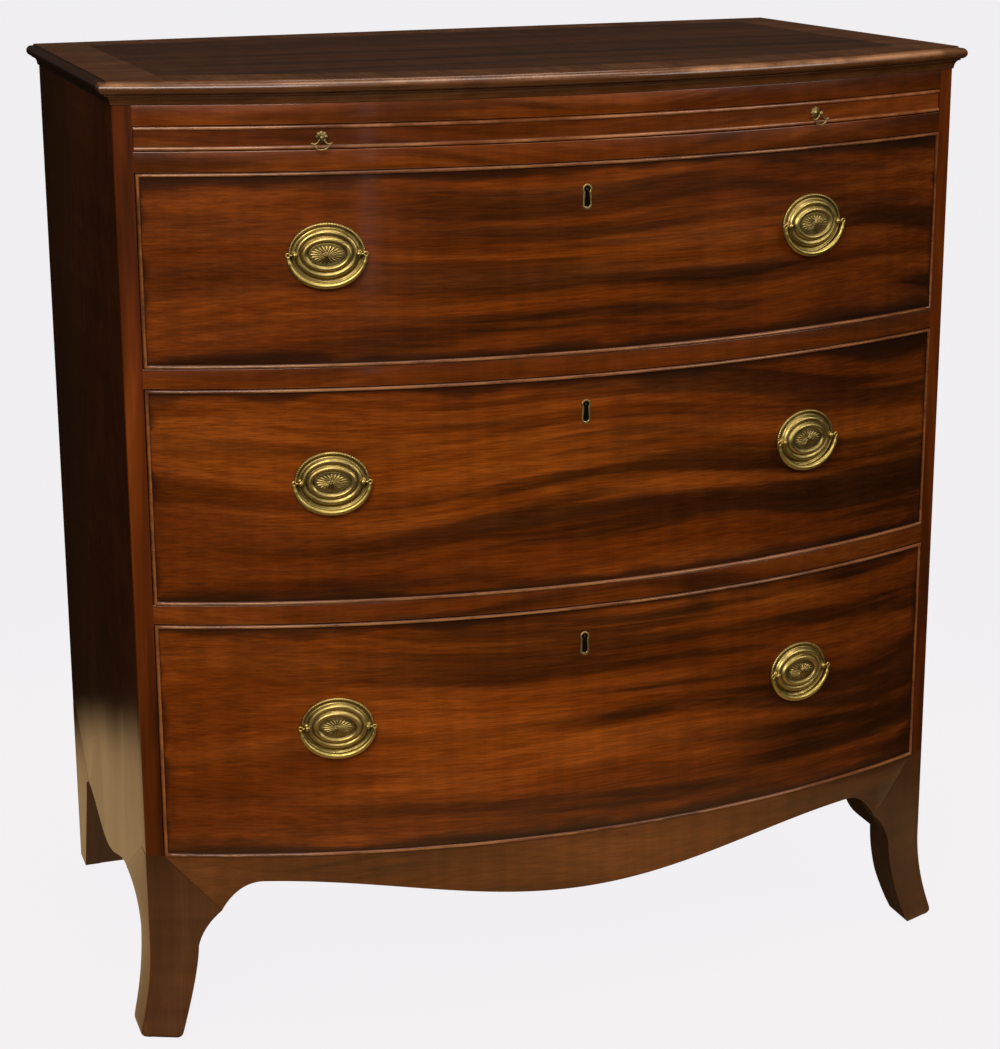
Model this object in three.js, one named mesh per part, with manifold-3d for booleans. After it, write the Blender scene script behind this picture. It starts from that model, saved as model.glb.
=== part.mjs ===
// Bow-front chest of three long drawers with a brushing slide, on splayed bracket feet.
// Millimetres, +Z up, the front towards -Y, the origin on the floor under the middle.

import * as THREE from 'three';
import { mergeVertices } from 'three/addons/utils/BufferGeometryUtils.js';
import Module from 'manifold-3d';

const wasm = await Module();
wasm.setup();

// Carcass
const carcassWidth = 890;
const cornerDepth = 471;
const bowRise = 91;
const bowFacets = 16;
const baseHeight = 199.5;
const sideThickness = 17.5;
const backThickness = 12;
const bottomThickness = 12;
const dustThickness = 12;
const housingDepth = 5.5;
const railThickness = 20;
const railBack = 30;
const topRailHeight = 19.5;
const jointGap = 0.3;
const dovetailGap = 0.15;
const overrun = 5;

// Moulded top
const topThickness = 23;
const topOverhang = 12.6;
const topBackOverhang = 6;
const topFilletInset = 8.3;
const topFilletHeight = 1.8;
const noseRadius = 5.5;
const quirkDepth = 3.2;
const quirkHeight = 1.6;
const cavettoStart = 6.6;
const cavettoEnd = 1;
const noseSteps = 6;
const cavettoSteps = 3;

// Backboards: one panel of vertical boards with a vee between them
const backBoards = 5;
const backVeeDepth = 1.6;

// Drawers, listed from the lowest to the highest
const drawerHeights = [249.2, 219.4, 189.4];
const keyholeDrops = [40.5, 38, 34];
const drawerSideGap = 0.7;
const drawerRestGap = 0.3;
const drawerHeadGap = 0.7;
const drawerRearGap = 11;
const drawerFrontThickness = 22;
const drawerSideThickness = 10;
const drawerBackThickness = 10;
const drawerBackDrop = 14;
const drawerBottomThickness = 7;
const drawerBottomRise = 8;
const drawerGrooveDepth = 4.5;
const beadWidth = 3.5;
const beadDepth = 10;
const beadProud = 2.5;
const beadSteps = 3;
const tailPitch = 46;
const tailWidth = 25;
const tailSplay = 3;
const tailRoot = 6;
const frontLap = 11.5;
const stopLength = 40;
const stopWidth = 22;
const stopHeight = 5;
const stopInset = 250;

// Brushing slide
const slideThickness = 23.5;
const slideSideGap = 0.7;
const slideRestGap = 0.3;
const slideHeadGap = 0.7;
const slideRearGap = 29;
const slideBeadRadius = 2.2;
const slideRecess = 1.8;
const slideBeadSteps = 4;
const bearerWidth = 30;

// Bracket feet and shaped aprons
const inwardSweep_share = 1.5;
const footThickness = 20;
const footBlock = 40;
const splay = 16.5;
const splayHeight = 100;
const toeRound = 4.5;
const footGroundReach = 24;
const footNeckReach = 48;
const footNeckDrop = 40;
const cuspReach = 72;
const cuspDrop = 59.5;
const cuspControl = 53;
const cuspControlDrop = 18;
const seamReach = 17.5;
const shoulderReach = 115;
const shoulderControl = 89;
const apronWaist = 27.5;
const apronDrop = 33.6;
const apronSteps = 12;
const apronThickness = 20;
const sideNeckDrop = 33;
const sideNeckReach = 49;
const sideGroundReach = 30;
const sideApexReach = 127;
const sideApexDrop = 66.5;
const sideControlReach = 62;
const sideApronDrop = 26;
const sideApronSteps = 12;
const sideSeamReach = 24;
const rearGroundReach = 35;
const rearCuspReach = 75;
const rearCuspDrop = 25;
const rearApexReach = 94;
const rearBlockWidth = 60;
const rearBlockGroundWidth = 46;
const glueReach = 118;
const glueDrop = 36;
const glueBend = 75;
const glueRise = 51;
const footRings = 4;
const curlRings = 4;
const faceSteps = 3;
const toeSteps = 2;
const curveSamples = 64;
const tuck = 1;

// Oval plates with bail handles
const handleReach = 255;
const handleRise = 16;
const plateGap = 0.3;
const plateSides = 16;
const postSpacing = 61;
const postRadius = 2;
const postHoleGap = 0.4;
const ballRadius = 3;
const ballSteps = 3;
const postSides = 6;
const nutRadius = 6;
const nutThickness = 3;
const nutGap = 0.9;
const bailStand = 6;
const bailTubeRadius = 2.4;
const bailEndRadius = 1.7;
const bailReach = 38.3;
const bailDrop = 30.6;
const bailRimGap = 0.3;
const bailSteps = 8;
const bailSides = 6;
const eyeRadius = 1.9;
const eyeTube = 0.95;
const eyeSides = 5;
const eyeTubeSides = 4;
const pinRadius = 0.9;
const pinGap = 0.3;
const pinDepth = 1.6;

// The plate's relief: half width, half height and height above its back, from the rim inwards
const plateRows = [
  [37, 30, 0],
  [36.6, 29.6, 2],
  [35, 28, 2.4],
  [33.6, 26.6, 1],
  [30.2, 24.2, 1.2],
  [28.6, 22.6, 4.6],
  [25.4, 19.4, 4.8],
  [22.4, 16.2, 6.9],
  [17.6, 11.6, 5.8],
  [10, 6.4, 7.6],
];
const rimRowCount = 4;
const rimHeight = Math.max(...plateRows.slice(0, rimRowCount).map((row) => row[2]));

// Locks and keyholes
const lockWidth = 60;
const lockDepth = 9;
const lockBelowKey = 24;
const selvedgeDepth = 10;
const selvedgeThickness = 2;
const boltWidth = 18;
const boltThickness = 4;
const boltHeight = 17.5;
const boltSink = 0.4;
const boltSetback = 3;
const boltTravel = 6;
const mortiseSlack = 2;
const keyRimWidth = 10;
const keyRimHeight = 25.3;
const keyRimDepth = 3;
const keyRimProud = 0.4;
const keyRimWaist = 4.3;
const keyRimFoot = 4.9;
const keyHeadRadius = 2.8;
const keySlotTop = 1.6;
const keySlotFoot = 2;
const keySlotLength = 16.5;
const keyRimPoint = 3.3;
const keyGap = 0.2;
const keyholeSteps = 7;

// Small ring pulls on the slide
const pullReach = 257;
const rosetteRadius = 5.8;
const rosetteThickness = 1.6;
const pullPostRadius = 1.5;
const pullStand = 9.5;
const pullBallRadius = 2.6;
const pullShank = 12;
const ringTube = 0.85;
const ringPinGap = 0.3;
const ringSides = 5;
const ringTurns = 6;

// Half of the ring with its outward horn: reach from the middle and drop below the pivot
const ringPath = [
  [4.6, 0],
  [6.2, 1.4],
  [7.2, 3.6],
  [9.6, 5.2],
  [7.4, 6.2],
  [6, 8.8],
  [3.4, 10.9],
  [0, 11.5],
];

// Levels worked out from the sizes above
const halfCarcass = carcassWidth / 2;
const halfInside = halfCarcass - sideThickness;
const backInside = cornerDepth - backThickness;
const openingHeight = (height) => height + drawerRestGap + drawerHeadGap;
const drawerFloors = [];
const railFloors = [];
let level = baseHeight;
for (const height of drawerHeights) {
  drawerFloors.push(level + drawerRestGap);
  level += openingHeight(height);
  railFloors.push(level);
  level += railThickness;
}
const slideFloor = level + slideRestGap;
const topRailFloor = slideFloor + slideThickness + slideHeadGap;
const carcassHeight = topRailFloor + topRailHeight;
const slideDepth = backInside - slideRearGap;
const apronHeight = baseHeight - apronWaist;
const cuspHeight = baseHeight - cuspDrop;
const footNeckHeight = cuspHeight - footNeckDrop;
const sideApexHeight = baseHeight - sideApexDrop;
const sideNeckHeight = sideApexHeight - sideNeckDrop;
const rearCuspHeight = sideApexHeight - rearCuspDrop;
const glueFloor = sideApexHeight - glueDrop;
const frontOverall = bowRise + topOverhang;
const backOverall = cornerDepth + topBackOverhang;

// The bowed front: a circular arc through both front corners, cut into equal facets,
// so that everything flush with it or concentric to it shares the same facets
const bowRadius = (halfCarcass ** 2 + bowRise ** 2) / (2 * bowRise);
const bowCentre = bowRadius - bowRise;
const bowStep = (2 * Math.asin(halfCarcass / bowRadius)) / bowFacets;

function bowVertex(index, offset) {
  const radius = bowRadius + offset;
  const angle = index * bowStep;
  return new THREE.Vector2(radius * Math.sin(angle), bowCentre - radius * Math.cos(angle));
}

function bowIndex(x, offset) {
  return Math.asin(x / (bowRadius + offset)) / bowStep;
}

function bowY(x, offset = 0) {
  const start = Math.floor(bowIndex(x, offset));
  const a = bowVertex(start, offset);
  const b = bowVertex(start + 1, offset);
  return THREE.MathUtils.mapLinear(x, a.x, b.x, a.y, b.y);
}

// Points along the faceted front from x0 up to x1
function bowLine(x0, x1, offset = 0) {
  const points = [new THREE.Vector2(x0, bowY(x0, offset))];
  const last = Math.ceil(bowIndex(x1, offset)) - 1;
  for (let index = Math.floor(bowIndex(x0, offset)) + 1; index <= last; index += 1) {
    points.push(bowVertex(index, offset));
  }
  points.push(new THREE.Vector2(x1, bowY(x1, offset)));
  return points;
}

// Solid forms
function prism(points, z0, z1) {
  const shape = new THREE.Shape(points);
  const geometry = new THREE.ExtrudeGeometry(shape, { depth: z1 - z0, bevelEnabled: false });
  return geometry.translate(0, 0, z0);
}

function boardAlongX(points, x0, x1) {
  const swap = new THREE.Matrix4().set(0, 0, 1, 0, 1, 0, 0, 0, 0, 1, 0, 0, 0, 0, 0, 1);
  return prism(points, x0, x1).applyMatrix4(swap);
}

function boardAlongY(points, y0, y1) {
  const turn = new THREE.Matrix4().set(1, 0, 0, 0, 0, 0, -1, 0, 0, 1, 0, 0, 0, 0, 0, 1);
  return prism(points, -y1, -y0).applyMatrix4(turn);
}

function box(x0, x1, y0, y1, z0, z1) {
  const geometry = new THREE.BoxGeometry(x1 - x0, y1 - y0, z1 - z0);
  return geometry.translate((x0 + x1) / 2, (y0 + y1) / 2, (z0 + z1) / 2);
}

// A block behind the bowed front, back to a straight line
function bowBlock(half, back, z0, z1, offset = 0) {
  const front = bowLine(-half, half, offset);
  const rear = [new THREE.Vector2(half, back), new THREE.Vector2(-half, back)];
  return prism([...front, ...rear], z0, z1);
}

// A curved board between two lines concentric with the front
function bowBoard(half, z0, z1, outer, inner, start = -half) {
  const face = bowLine(start, half, outer);
  const rear = bowLine(start, half, inner).reverse();
  return prism([...face, ...rear], z0, z1);
}

function signedVolume(positions, indices) {
  const a = new THREE.Vector3();
  const b = new THREE.Vector3();
  const c = new THREE.Vector3();
  let volume = 0;
  for (let i = 0; i < indices.length; i += 3) {
    a.fromArray(positions, indices[i] * 3);
    b.fromArray(positions, indices[i + 1] * 3);
    c.fromArray(positions, indices[i + 2] * 3);
    volume += a.dot(b.cross(c));
  }
  return volume;
}

// Flat end faces of a ring: from its outline seen from above, or as a strip across it
function outlineFaces(ring) {
  return THREE.ShapeUtils.triangulateShape(ring.map((point) => new THREE.Vector2(point.x, point.y)), []);
}

function stripFaces(ring) {
  const faces = [];
  let low = 0;
  let high = ring.length - 1;
  while (high - low > 1) {
    faces.push([low, low + 1, high]);
    if (high - low > 2) {
      faces.push([low + 1, high - 1, high]);
    }
    low += 1;
    high -= 1;
  }
  return faces;
}

// A skin over rings of equal count; it ends in flat faces or, when looped, joins its start
function loft(rings, looped = false, endFaces = stripFaces) {
  const count = rings[0].length;
  const positions = rings.flatMap((ring) => ring.flatMap((point) => point.toArray()));
  const indices = [];
  const bands = looped ? rings.length : rings.length - 1;
  for (let band = 0; band < bands; band += 1) {
    const lower = band * count;
    const upper = ((band + 1) % rings.length) * count;
    for (let i = 0; i < count; i += 1) {
      const next = (i + 1) % count;
      indices.push(lower + i, lower + next, upper + next, lower + i, upper + next, upper + i);
    }
  }
  if (!looped) {
    const lastStart = (rings.length - 1) * count;
    for (const [a, b, c] of endFaces(rings[0])) {
      indices.push(c, b, a);
    }
    for (const [a, b, c] of endFaces(rings[rings.length - 1])) {
      indices.push(lastStart + a, lastStart + b, lastStart + c);
    }
  }
  if (signedVolume(positions, indices) < 0) {
    indices.reverse();
  }
  const geometry = new THREE.BufferGeometry();
  geometry.setAttribute('position', new THREE.Float32BufferAttribute(positions, 3));
  geometry.setIndex(indices);
  return geometry;
}

// A round tube along points in one plane, square to the given normal
function tube(points, radii, sides, normal) {
  const rings = points.map((point, i) => {
    const before = points[Math.max(i - 1, 0)];
    const after = points[Math.min(i + 1, points.length - 1)];
    const along = after.clone().sub(before).normalize();
    const across = along.clone().cross(normal).normalize();
    return Array.from({ length: sides }, (_, k) => {
      const angle = ((k + 0.5) / sides) * 2 * Math.PI;
      const shift = across.clone().multiplyScalar(Math.cos(angle) * radii[i]);
      shift.addScaledVector(normal, Math.sin(angle) * radii[i]);
      return point.clone().add(shift);
    });
  });
  return loft(rings);
}

// A turned form about an axis that runs along -Y, from radius and height pairs
function turned(profile, sides) {
  const points = profile.map(([radius, height]) => new THREE.Vector2(radius, height));
  return new THREE.LatheGeometry(points, sides).rotateX(Math.PI);
}

// Joining and cutting
function solid(geometry) {
  const bare = geometry.clone();
  bare.deleteAttribute('normal');
  bare.deleteAttribute('uv');
  const merged = mergeVertices(bare);
  const vertProperties = new Float32Array(merged.attributes.position.array);
  const faces = [];
  for (let i = 0; i < merged.index.count; i += 3) {
    const face = [merged.index.getX(i), merged.index.getX(i + 1), merged.index.getX(i + 2)];
    if (new Set(face).size === face.length) {
      faces.push(...face);
    }
  }
  if (signedVolume(vertProperties, faces) < 0) {
    faces.reverse();
  }
  const triVerts = new Uint32Array(faces);
  return new wasm.Manifold(new wasm.Mesh({ numProp: 3, vertProperties, triVerts }));
}

function shapeOf(body) {
  const mesh = body.getMesh();
  const geometry = new THREE.BufferGeometry();
  geometry.setAttribute('position', new THREE.BufferAttribute(mesh.vertProperties, 3));
  geometry.setIndex(new THREE.BufferAttribute(mesh.triVerts, 1));
  return geometry;
}

const join = (...parts) => parts.reduce((sum, part) => sum.add(part));
const cut = (body, ...tools) => tools.reduce((rest, tool) => rest.subtract(tool), body);

// Finishes
const finishes = {
  mahogany: { color: 0x6a2c12, roughness: 0.28, metalness: 0 },
  mahoganyTop: { color: 0x3d2013, roughness: 0.25, metalness: 0 },
  mahoganySide: { color: 0x3a150b, roughness: 0.3, metalness: 0 },
  mahoganyFoot: { color: 0x4a2412, roughness: 0.4, metalness: 0 },
  bead: { color: 0x8a4a22, roughness: 0.35, metalness: 0 },
  oak: { color: 0xa07a4c, roughness: 0.7, metalness: 0 },
  pine: { color: 0x9a7142, roughness: 0.8, metalness: 0 },
  brass: { color: 0xa88a42, roughness: 0.32, metalness: 1 },
};

function piece(parent, name, geometry, finish) {
  geometry.computeVertexNormals();
  const mesh = new THREE.Mesh(geometry, new THREE.MeshStandardMaterial(finishes[finish]));
  mesh.name = name;
  parent.add(mesh);
  return mesh;
}

const chest = new THREE.Group();
chest.position.y = (frontOverall - backOverall) / 2;

// Moulded top: rows of front and side offset against depth below the top face
function topProfile() {
  const noseOut = topOverhang - noseRadius;
  const noseMiddle = topFilletHeight + noseRadius;
  const rows = [
    [topOverhang - topFilletInset, 0],
    [topOverhang - topFilletInset, topFilletHeight],
  ];
  for (let i = 0; i <= noseSteps; i += 1) {
    const angle = Math.PI / 2 - (i / noseSteps) * Math.PI;
    rows.push([noseOut + noseRadius * Math.cos(angle), noseMiddle - noseRadius * Math.sin(angle)]);
  }
  const quirkFloor = noseMiddle + noseRadius;
  rows.push([noseOut - quirkDepth + noseRadius / 2, quirkFloor]);
  rows.push([noseOut - quirkDepth + noseRadius / 2, quirkFloor + quirkHeight]);
  const cavettoFloor = quirkFloor + quirkHeight;
  for (let i = 0; i <= cavettoSteps; i += 1) {
    const angle = (i / cavettoSteps) * (Math.PI / 2);
    const out = cavettoStart - (cavettoStart - cavettoEnd) * Math.sin(angle);
    const down = topThickness - (topThickness - cavettoFloor) * Math.cos(angle);
    rows.push([out, down]);
  }
  return rows;
}

// A ring round a bowed slab: the front and its corners moved out, the back straight
function slabRing(half, frontOffset, back, z) {
  const inner = [];
  for (let index = 1 - bowFacets / 2; index < bowFacets / 2; index += 1) {
    inner.push(bowVertex(index, frontOffset));
  }
  const corners = [-half, half].map((x) => new THREE.Vector2(x, bowY(x, frontOffset)));
  const rear = [new THREE.Vector2(half, back), new THREE.Vector2(-half, back)];
  const loop = [corners[0], ...inner, corners[1], ...rear];
  return loop.map((point) => new THREE.Vector3(point.x, point.y, z));
}

function buildTop() {
  const topFace = carcassHeight + topThickness;
  const rings = topProfile().map(([out, down]) => (
    slabRing(halfCarcass + out, out, backOverall, topFace - down)
  ));
  piece(chest, 'top', loft(rings, false, outlineFaces), 'mahoganyTop');
}

// How far the lowest edges of a front foot draw in where they are rounded
function toeInset(z) {
  const under = Math.max(0, toeRound - z);
  return toeRound - Math.sqrt(toeRound ** 2 - under ** 2);
}

// Distances in from the carcass corner to the inner edge of a front foot, by height
function frontReach(z) {
  if (z <= footNeckHeight) {
    const fall = (1 - z / footNeckHeight) ** inwardSweep_share;
    return footNeckReach - (footNeckReach - footGroundReach) * fall - toeInset(z);
  }
  if (z <= cuspHeight) {
    const start = new THREE.Vector2(footNeckReach, footNeckHeight);
    const middle = new THREE.Vector2(cuspControl, cuspHeight - cuspControlDrop);
    const end = new THREE.Vector2(cuspReach, cuspHeight);
    return reachOnCurve(new THREE.QuadraticBezierCurve(start, middle, end), z);
  }
  return THREE.MathUtils.mapLinear(z, cuspHeight, baseHeight, cuspReach, seamReach);
}

// The same along the side: a concave sweep up to the apex, then the seam with the side
function sideReach(z) {
  if (z <= sideNeckHeight) {
    const fall = (1 - z / sideNeckHeight) ** inwardSweep_share;
    return sideNeckReach - (sideNeckReach - sideGroundReach) * fall - toeInset(z);
  }
  if (z <= sideApexHeight) {
    const start = new THREE.Vector2(sideNeckReach, sideNeckHeight);
    const middle = new THREE.Vector2(sideControlReach, sideApexHeight);
    const end = new THREE.Vector2(sideApexReach, sideApexHeight);
    return reachOnCurve(new THREE.QuadraticBezierCurve(start, middle, end), z);
  }
  return THREE.MathUtils.mapLinear(z, sideApexHeight, baseHeight, sideApexReach, sideSeamReach);
}

// The rear foot tapers to the floor, with a small ogee below its apex
function rearReach(z) {
  if (z <= rearCuspHeight) {
    return THREE.MathUtils.mapLinear(z, 0, rearCuspHeight, rearGroundReach, rearCuspReach);
  }
  if (z <= sideApexHeight) {
    const start = new THREE.Vector2(rearCuspReach, rearCuspHeight);
    const middle = new THREE.Vector2(rearCuspReach, sideApexHeight);
    const end = new THREE.Vector2(rearApexReach, sideApexHeight);
    return reachOnCurve(new THREE.QuadraticBezierCurve(start, middle, end), z);
  }
  return THREE.MathUtils.mapLinear(z, sideApexHeight, baseHeight, rearApexReach, sideSeamReach);
}

function reachOnCurve(curve, z) {
  const points = curve.getPoints(curveSamples);
  const upper = Math.max(1, points.findIndex((point) => point.y >= z));
  const a = points[upper - 1];
  const b = points[upper];
  return THREE.MathUtils.mapLinear(z, a.y, b.y, a.x, b.x);
}

// How far the foot stands out: a sweep to the floor, rounded under at the toe
function splayAt(z) {
  return splay * Math.max(0, 1 - z / splayHeight) ** 2 - toeInset(z);
}

function spread(low, high, steps) {
  return Array.from({ length: steps + 1 }, (_, i) => low + ((high - low) * i) / steps);
}

const unique = (values) => [...new Set(values)].sort((a, b) => a - b);
const blockTop = baseHeight - bottomThickness - jointGap;

const frontFootLevels = unique([
  ...spread(0, toeRound, toeSteps),
  ...spread(toeRound, splayHeight, footRings),
  footNeckHeight,
  sideNeckHeight,
  ...spread(footNeckHeight, cuspHeight, curlRings),
  sideApexHeight,
  blockTop,
  baseHeight,
]);

// The same rings serve both feet of a pair: right-hand forms, mirrored for the left
function stack(levels, plan) {
  return loft(levels.map((z) => plan(z).map((point) => new THREE.Vector3(point.x, point.y, z))));
}

function rectangle(x0, x1, y0, y1) {
  return [[x0, y0], [x1, y0], [x1, y1], [x0, y1]].map(([x, y]) => new THREE.Vector2(x, y));
}

function mirrored(geometry) {
  const copy = geometry.clone().scale(-1, 1, 1);
  copy.index.array.reverse();
  return copy;
}

function pair(name, geometry, finish) {
  piece(chest, `${name}_right`, geometry, finish);
  piece(chest, `${name}_left`, mirrored(geometry), finish);
}

const belowBoard = (levels) => [...levels.filter((z) => z < blockTop), blockTop];

function buildFrontFeet() {
  const wing = stack(frontFootLevels, (z) => {
    const out = splayAt(z);
    const xs = spread(halfCarcass + out, halfCarcass - frontReach(z), faceSteps);
    const face = xs.map((x) => new THREE.Vector2(x, bowY(x, out)));
    const rear = xs.map((x) => new THREE.Vector2(x, bowY(x, out - footThickness))).reverse();
    return [...face, ...rear];
  });
  const side = stack(frontFootLevels, (z) => {
    const edge = halfCarcass + splayAt(z);
    return rectangle(edge - sideThickness, edge, bowY(edge, splayAt(z)) + tuck, sideReach(z));
  });
  const block = stack(belowBoard(frontFootLevels), (z) => {
    const edge = halfCarcass + splayAt(z);
    const deep = Math.min(footBlock, sideReach(z) - tuck) - splayAt(z);
    const behind = z < cuspHeight ? -footThickness + tuck : -footThickness - jointGap;
    const xs = spread(edge - tuck, edge - Math.min(footBlock, frontReach(z)), faceSteps);
    const face = xs.map((x) => new THREE.Vector2(x, bowY(x, splayAt(z) + behind)));
    return [...face, ...[xs[faceSteps], xs[0]].map((x) => new THREE.Vector2(x, deep))];
  });
  const bend = new THREE.QuadraticBezierCurve(
    new THREE.Vector2(glueBend, glueFloor),
    new THREE.Vector2(glueReach, glueFloor),
    new THREE.Vector2(glueReach, glueFloor + glueRise),
  );
  const outline = [
    new THREE.Vector2(footBlock / 2, glueFloor),
    ...bend.getPoints(curlRings),
    new THREE.Vector2(glueReach, blockTop),
    new THREE.Vector2(footBlock / 2, blockTop),
  ];
  const glue = boardAlongX(outline, halfCarcass - footBlock, halfInside);
  pair('foot_front', shapeOf(join(...[wing, side, block, glue].map(solid))), 'mahoganyFoot');
}

function buildRearFeet() {
  const ogee = spread(rearCuspHeight, sideApexHeight, curlRings);
  const levels = [0, ...ogee, blockTop, baseHeight];
  const side = stack(levels, (z) => (
    rectangle(halfInside, halfCarcass, cornerDepth - rearReach(z), cornerDepth)
  ));
  const block = stack(belowBoard(levels), (z) => {
    const ground = Math.min(z / rearCuspHeight, 1);
    const wide = THREE.MathUtils.lerp(rearBlockGroundWidth, rearBlockWidth, ground);
    const deep = Math.min(rearReach(z), rearCuspReach) - tuck;
    return rectangle(halfCarcass - wide, halfCarcass - tuck, cornerDepth - deep, cornerDepth);
  });
  pair('foot_rear', shapeOf(join(...[side, block].map(solid))), 'mahoganyFoot');
}

// Side boards: seams over both feet, a shallow drop between, housings for the dust boards
function buildSides() {
  const middle = (sideApexReach + cornerDepth - rearApexReach) / 2;
  const half = middle - sideApexReach;
  const lower = spread(-half, half, sideApronSteps).map((step) => {
    const drop = (sideApronDrop / 2) * (1 + Math.cos((Math.PI * step) / half));
    return new THREE.Vector2(middle + step, sideApexHeight - drop);
  });
  const outline = [
    new THREE.Vector2(-bowRise, baseHeight + jointGap),
    new THREE.Vector2(sideSeamReach, baseHeight + jointGap),
    new THREE.Vector2(sideApexReach, sideApexHeight + jointGap),
    ...lower.slice(1, -1),
    new THREE.Vector2(cornerDepth - rearApexReach, sideApexHeight + jointGap),
    new THREE.Vector2(cornerDepth - sideSeamReach, baseHeight + jointGap),
    new THREE.Vector2(cornerDepth, baseHeight + jointGap),
    new THREE.Vector2(cornerDepth, carcassHeight),
    new THREE.Vector2(-bowRise, carcassHeight),
  ];
  const board = solid(boardAlongX(outline, halfInside, halfCarcass));
  const outer = halfCarcass + overrun;
  const inner = halfInside - overrun;
  const above = carcassHeight + overrun;
  const front = solid(bowBoard(outer, 0, above, 0, -bowRise, inner));
  const behind = solid(box(inner, outer, overrun, cornerDepth + overrun, 0, above));
  const housings = railFloors.slice(0, -1).map((floor) => {
    const top = floor + railThickness + jointGap;
    const sole = floor + railThickness - dustThickness - jointGap;
    return solid(box(inner, halfInside + housingDepth, railBack, backInside, sole, top));
  });
  const side = cut(board.intersect(front.add(behind)), ...housings);
  pair('side', shapeOf(side), 'mahoganySide');
}

// Bowed apron between the feet: a shallow drop at the middle and a shoulder to each cusp
function buildApron() {
  const shoulderStart = halfCarcass - shoulderReach;
  const shoulder = new THREE.QuadraticBezierCurve(
    new THREE.Vector2(shoulderStart, apronHeight),
    new THREE.Vector2(halfCarcass - shoulderControl, apronHeight),
    new THREE.Vector2(halfCarcass - cuspReach, cuspHeight),
  );
  const drop = spread(0, shoulderStart, apronSteps).map((x) => {
    const fall = (apronDrop / 2) * (1 + Math.cos((Math.PI * x) / shoulderStart));
    return new THREE.Vector2(x, apronHeight - fall);
  });
  const seamShift = new THREE.Vector2(-jointGap, 0);
  const right = [
    ...drop.slice(1, -1),
    ...shoulder.getPoints(curlRings).slice(0, -1),
    new THREE.Vector2(halfCarcass - cuspReach, cuspHeight).add(seamShift),
    new THREE.Vector2(halfCarcass - seamReach, baseHeight).add(seamShift),
  ];
  const left = right.map((point) => new THREE.Vector2(-point.x, point.y)).reverse();
  const outline = solid(boardAlongY([drop[0], ...right, ...left], -bowRise - overrun, railBack));
  const layer = solid(bowBoard(halfCarcass, 0, baseHeight + overrun, 0, -apronThickness));
  piece(chest, 'apron', shapeOf(outline.intersect(layer)), 'mahoganyFoot');
}

// Stop blocks glued behind the drawer fronts
function stopBlocks(floor) {
  const front = -drawerFrontThickness - 2 * jointGap;
  return [-stopInset, stopInset].map((x) => {
    const [start, end] = [x - stopLength / 2, x + stopLength / 2];
    return solid(bowBoard(end, floor - tuck, floor + stopHeight, front, front - stopWidth, start));
  });
}

function boltMortise(floor) {
  const wide = (boltWidth + mortiseSlack) / 2;
  const front = -bowRise + drawerFrontThickness - lockDepth + boltSetback - mortiseSlack / 2;
  const deep = boltThickness + mortiseSlack;
  return solid(box(-wide, wide, front, front + deep, floor - overrun, floor + boltTravel + tuck));
}

function buildRails() {
  const topRail = bowBlock(halfInside, railBack, topRailFloor, carcassHeight);
  piece(chest, 'top_rail', topRail, 'mahogany');

  const bearerInner = halfInside - bearerWidth;
  const plan = [
    ...bowLine(-halfInside, halfInside),
    new THREE.Vector2(halfInside, backInside - jointGap),
    new THREE.Vector2(bearerInner, backInside - jointGap),
    new THREE.Vector2(bearerInner, railBack),
    new THREE.Vector2(-bearerInner, railBack),
    new THREE.Vector2(-bearerInner, backInside - jointGap),
    new THREE.Vector2(-halfInside, backInside - jointGap),
  ];
  const slideRailFloor = railFloors[railFloors.length - 1];
  const frame = solid(prism(plan, slideRailFloor, slideRailFloor + railThickness));
  piece(chest, 'slide_frame', shapeOf(cut(frame, boltMortise(slideRailFloor))), 'mahogany');

  railFloors.slice(0, -1).forEach((floor, index) => {
    const name = ['lower', 'upper'][index];
    const top = floor + railThickness;
    const rail = solid(bowBlock(halfInside, railBack - jointGap, floor, top));
    const stopped = join(cut(rail, boltMortise(floor)), ...stopBlocks(top));
    piece(chest, `drawer_rail_${name}`, shapeOf(stopped), 'mahogany');
    const half = halfInside + housingDepth - jointGap;
    const dust = box(-half, half, railBack, backInside - jointGap, top - dustThickness, top);
    piece(chest, `dust_board_${name}`, dust, 'pine');
  });
}

function buildBottomAndBack() {
  const under = baseHeight - bottomThickness;
  const front = -apronThickness - jointGap;
  const board = solid(bowBlock(halfInside, backInside - jointGap, under, baseHeight, front));
  piece(chest, 'bottom_board', shapeOf(join(board, ...stopBlocks(baseHeight))), 'pine');

  const outline = [new THREE.Vector2(-halfInside, backInside), new THREE.Vector2(-halfInside, cornerDepth)];
  for (let seam = 1; seam < backBoards; seam += 1) {
    const x = -halfInside + (2 * halfInside * seam) / backBoards;
    outline.push(new THREE.Vector2(x - backVeeDepth, cornerDepth));
    outline.push(new THREE.Vector2(x, cornerDepth - backVeeDepth));
    outline.push(new THREE.Vector2(x + backVeeDepth, cornerDepth));
  }
  outline.push(new THREE.Vector2(halfInside, cornerDepth), new THREE.Vector2(halfInside, backInside));
  piece(chest, 'back', prism(outline, under, carcassHeight), 'pine');
}

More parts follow.
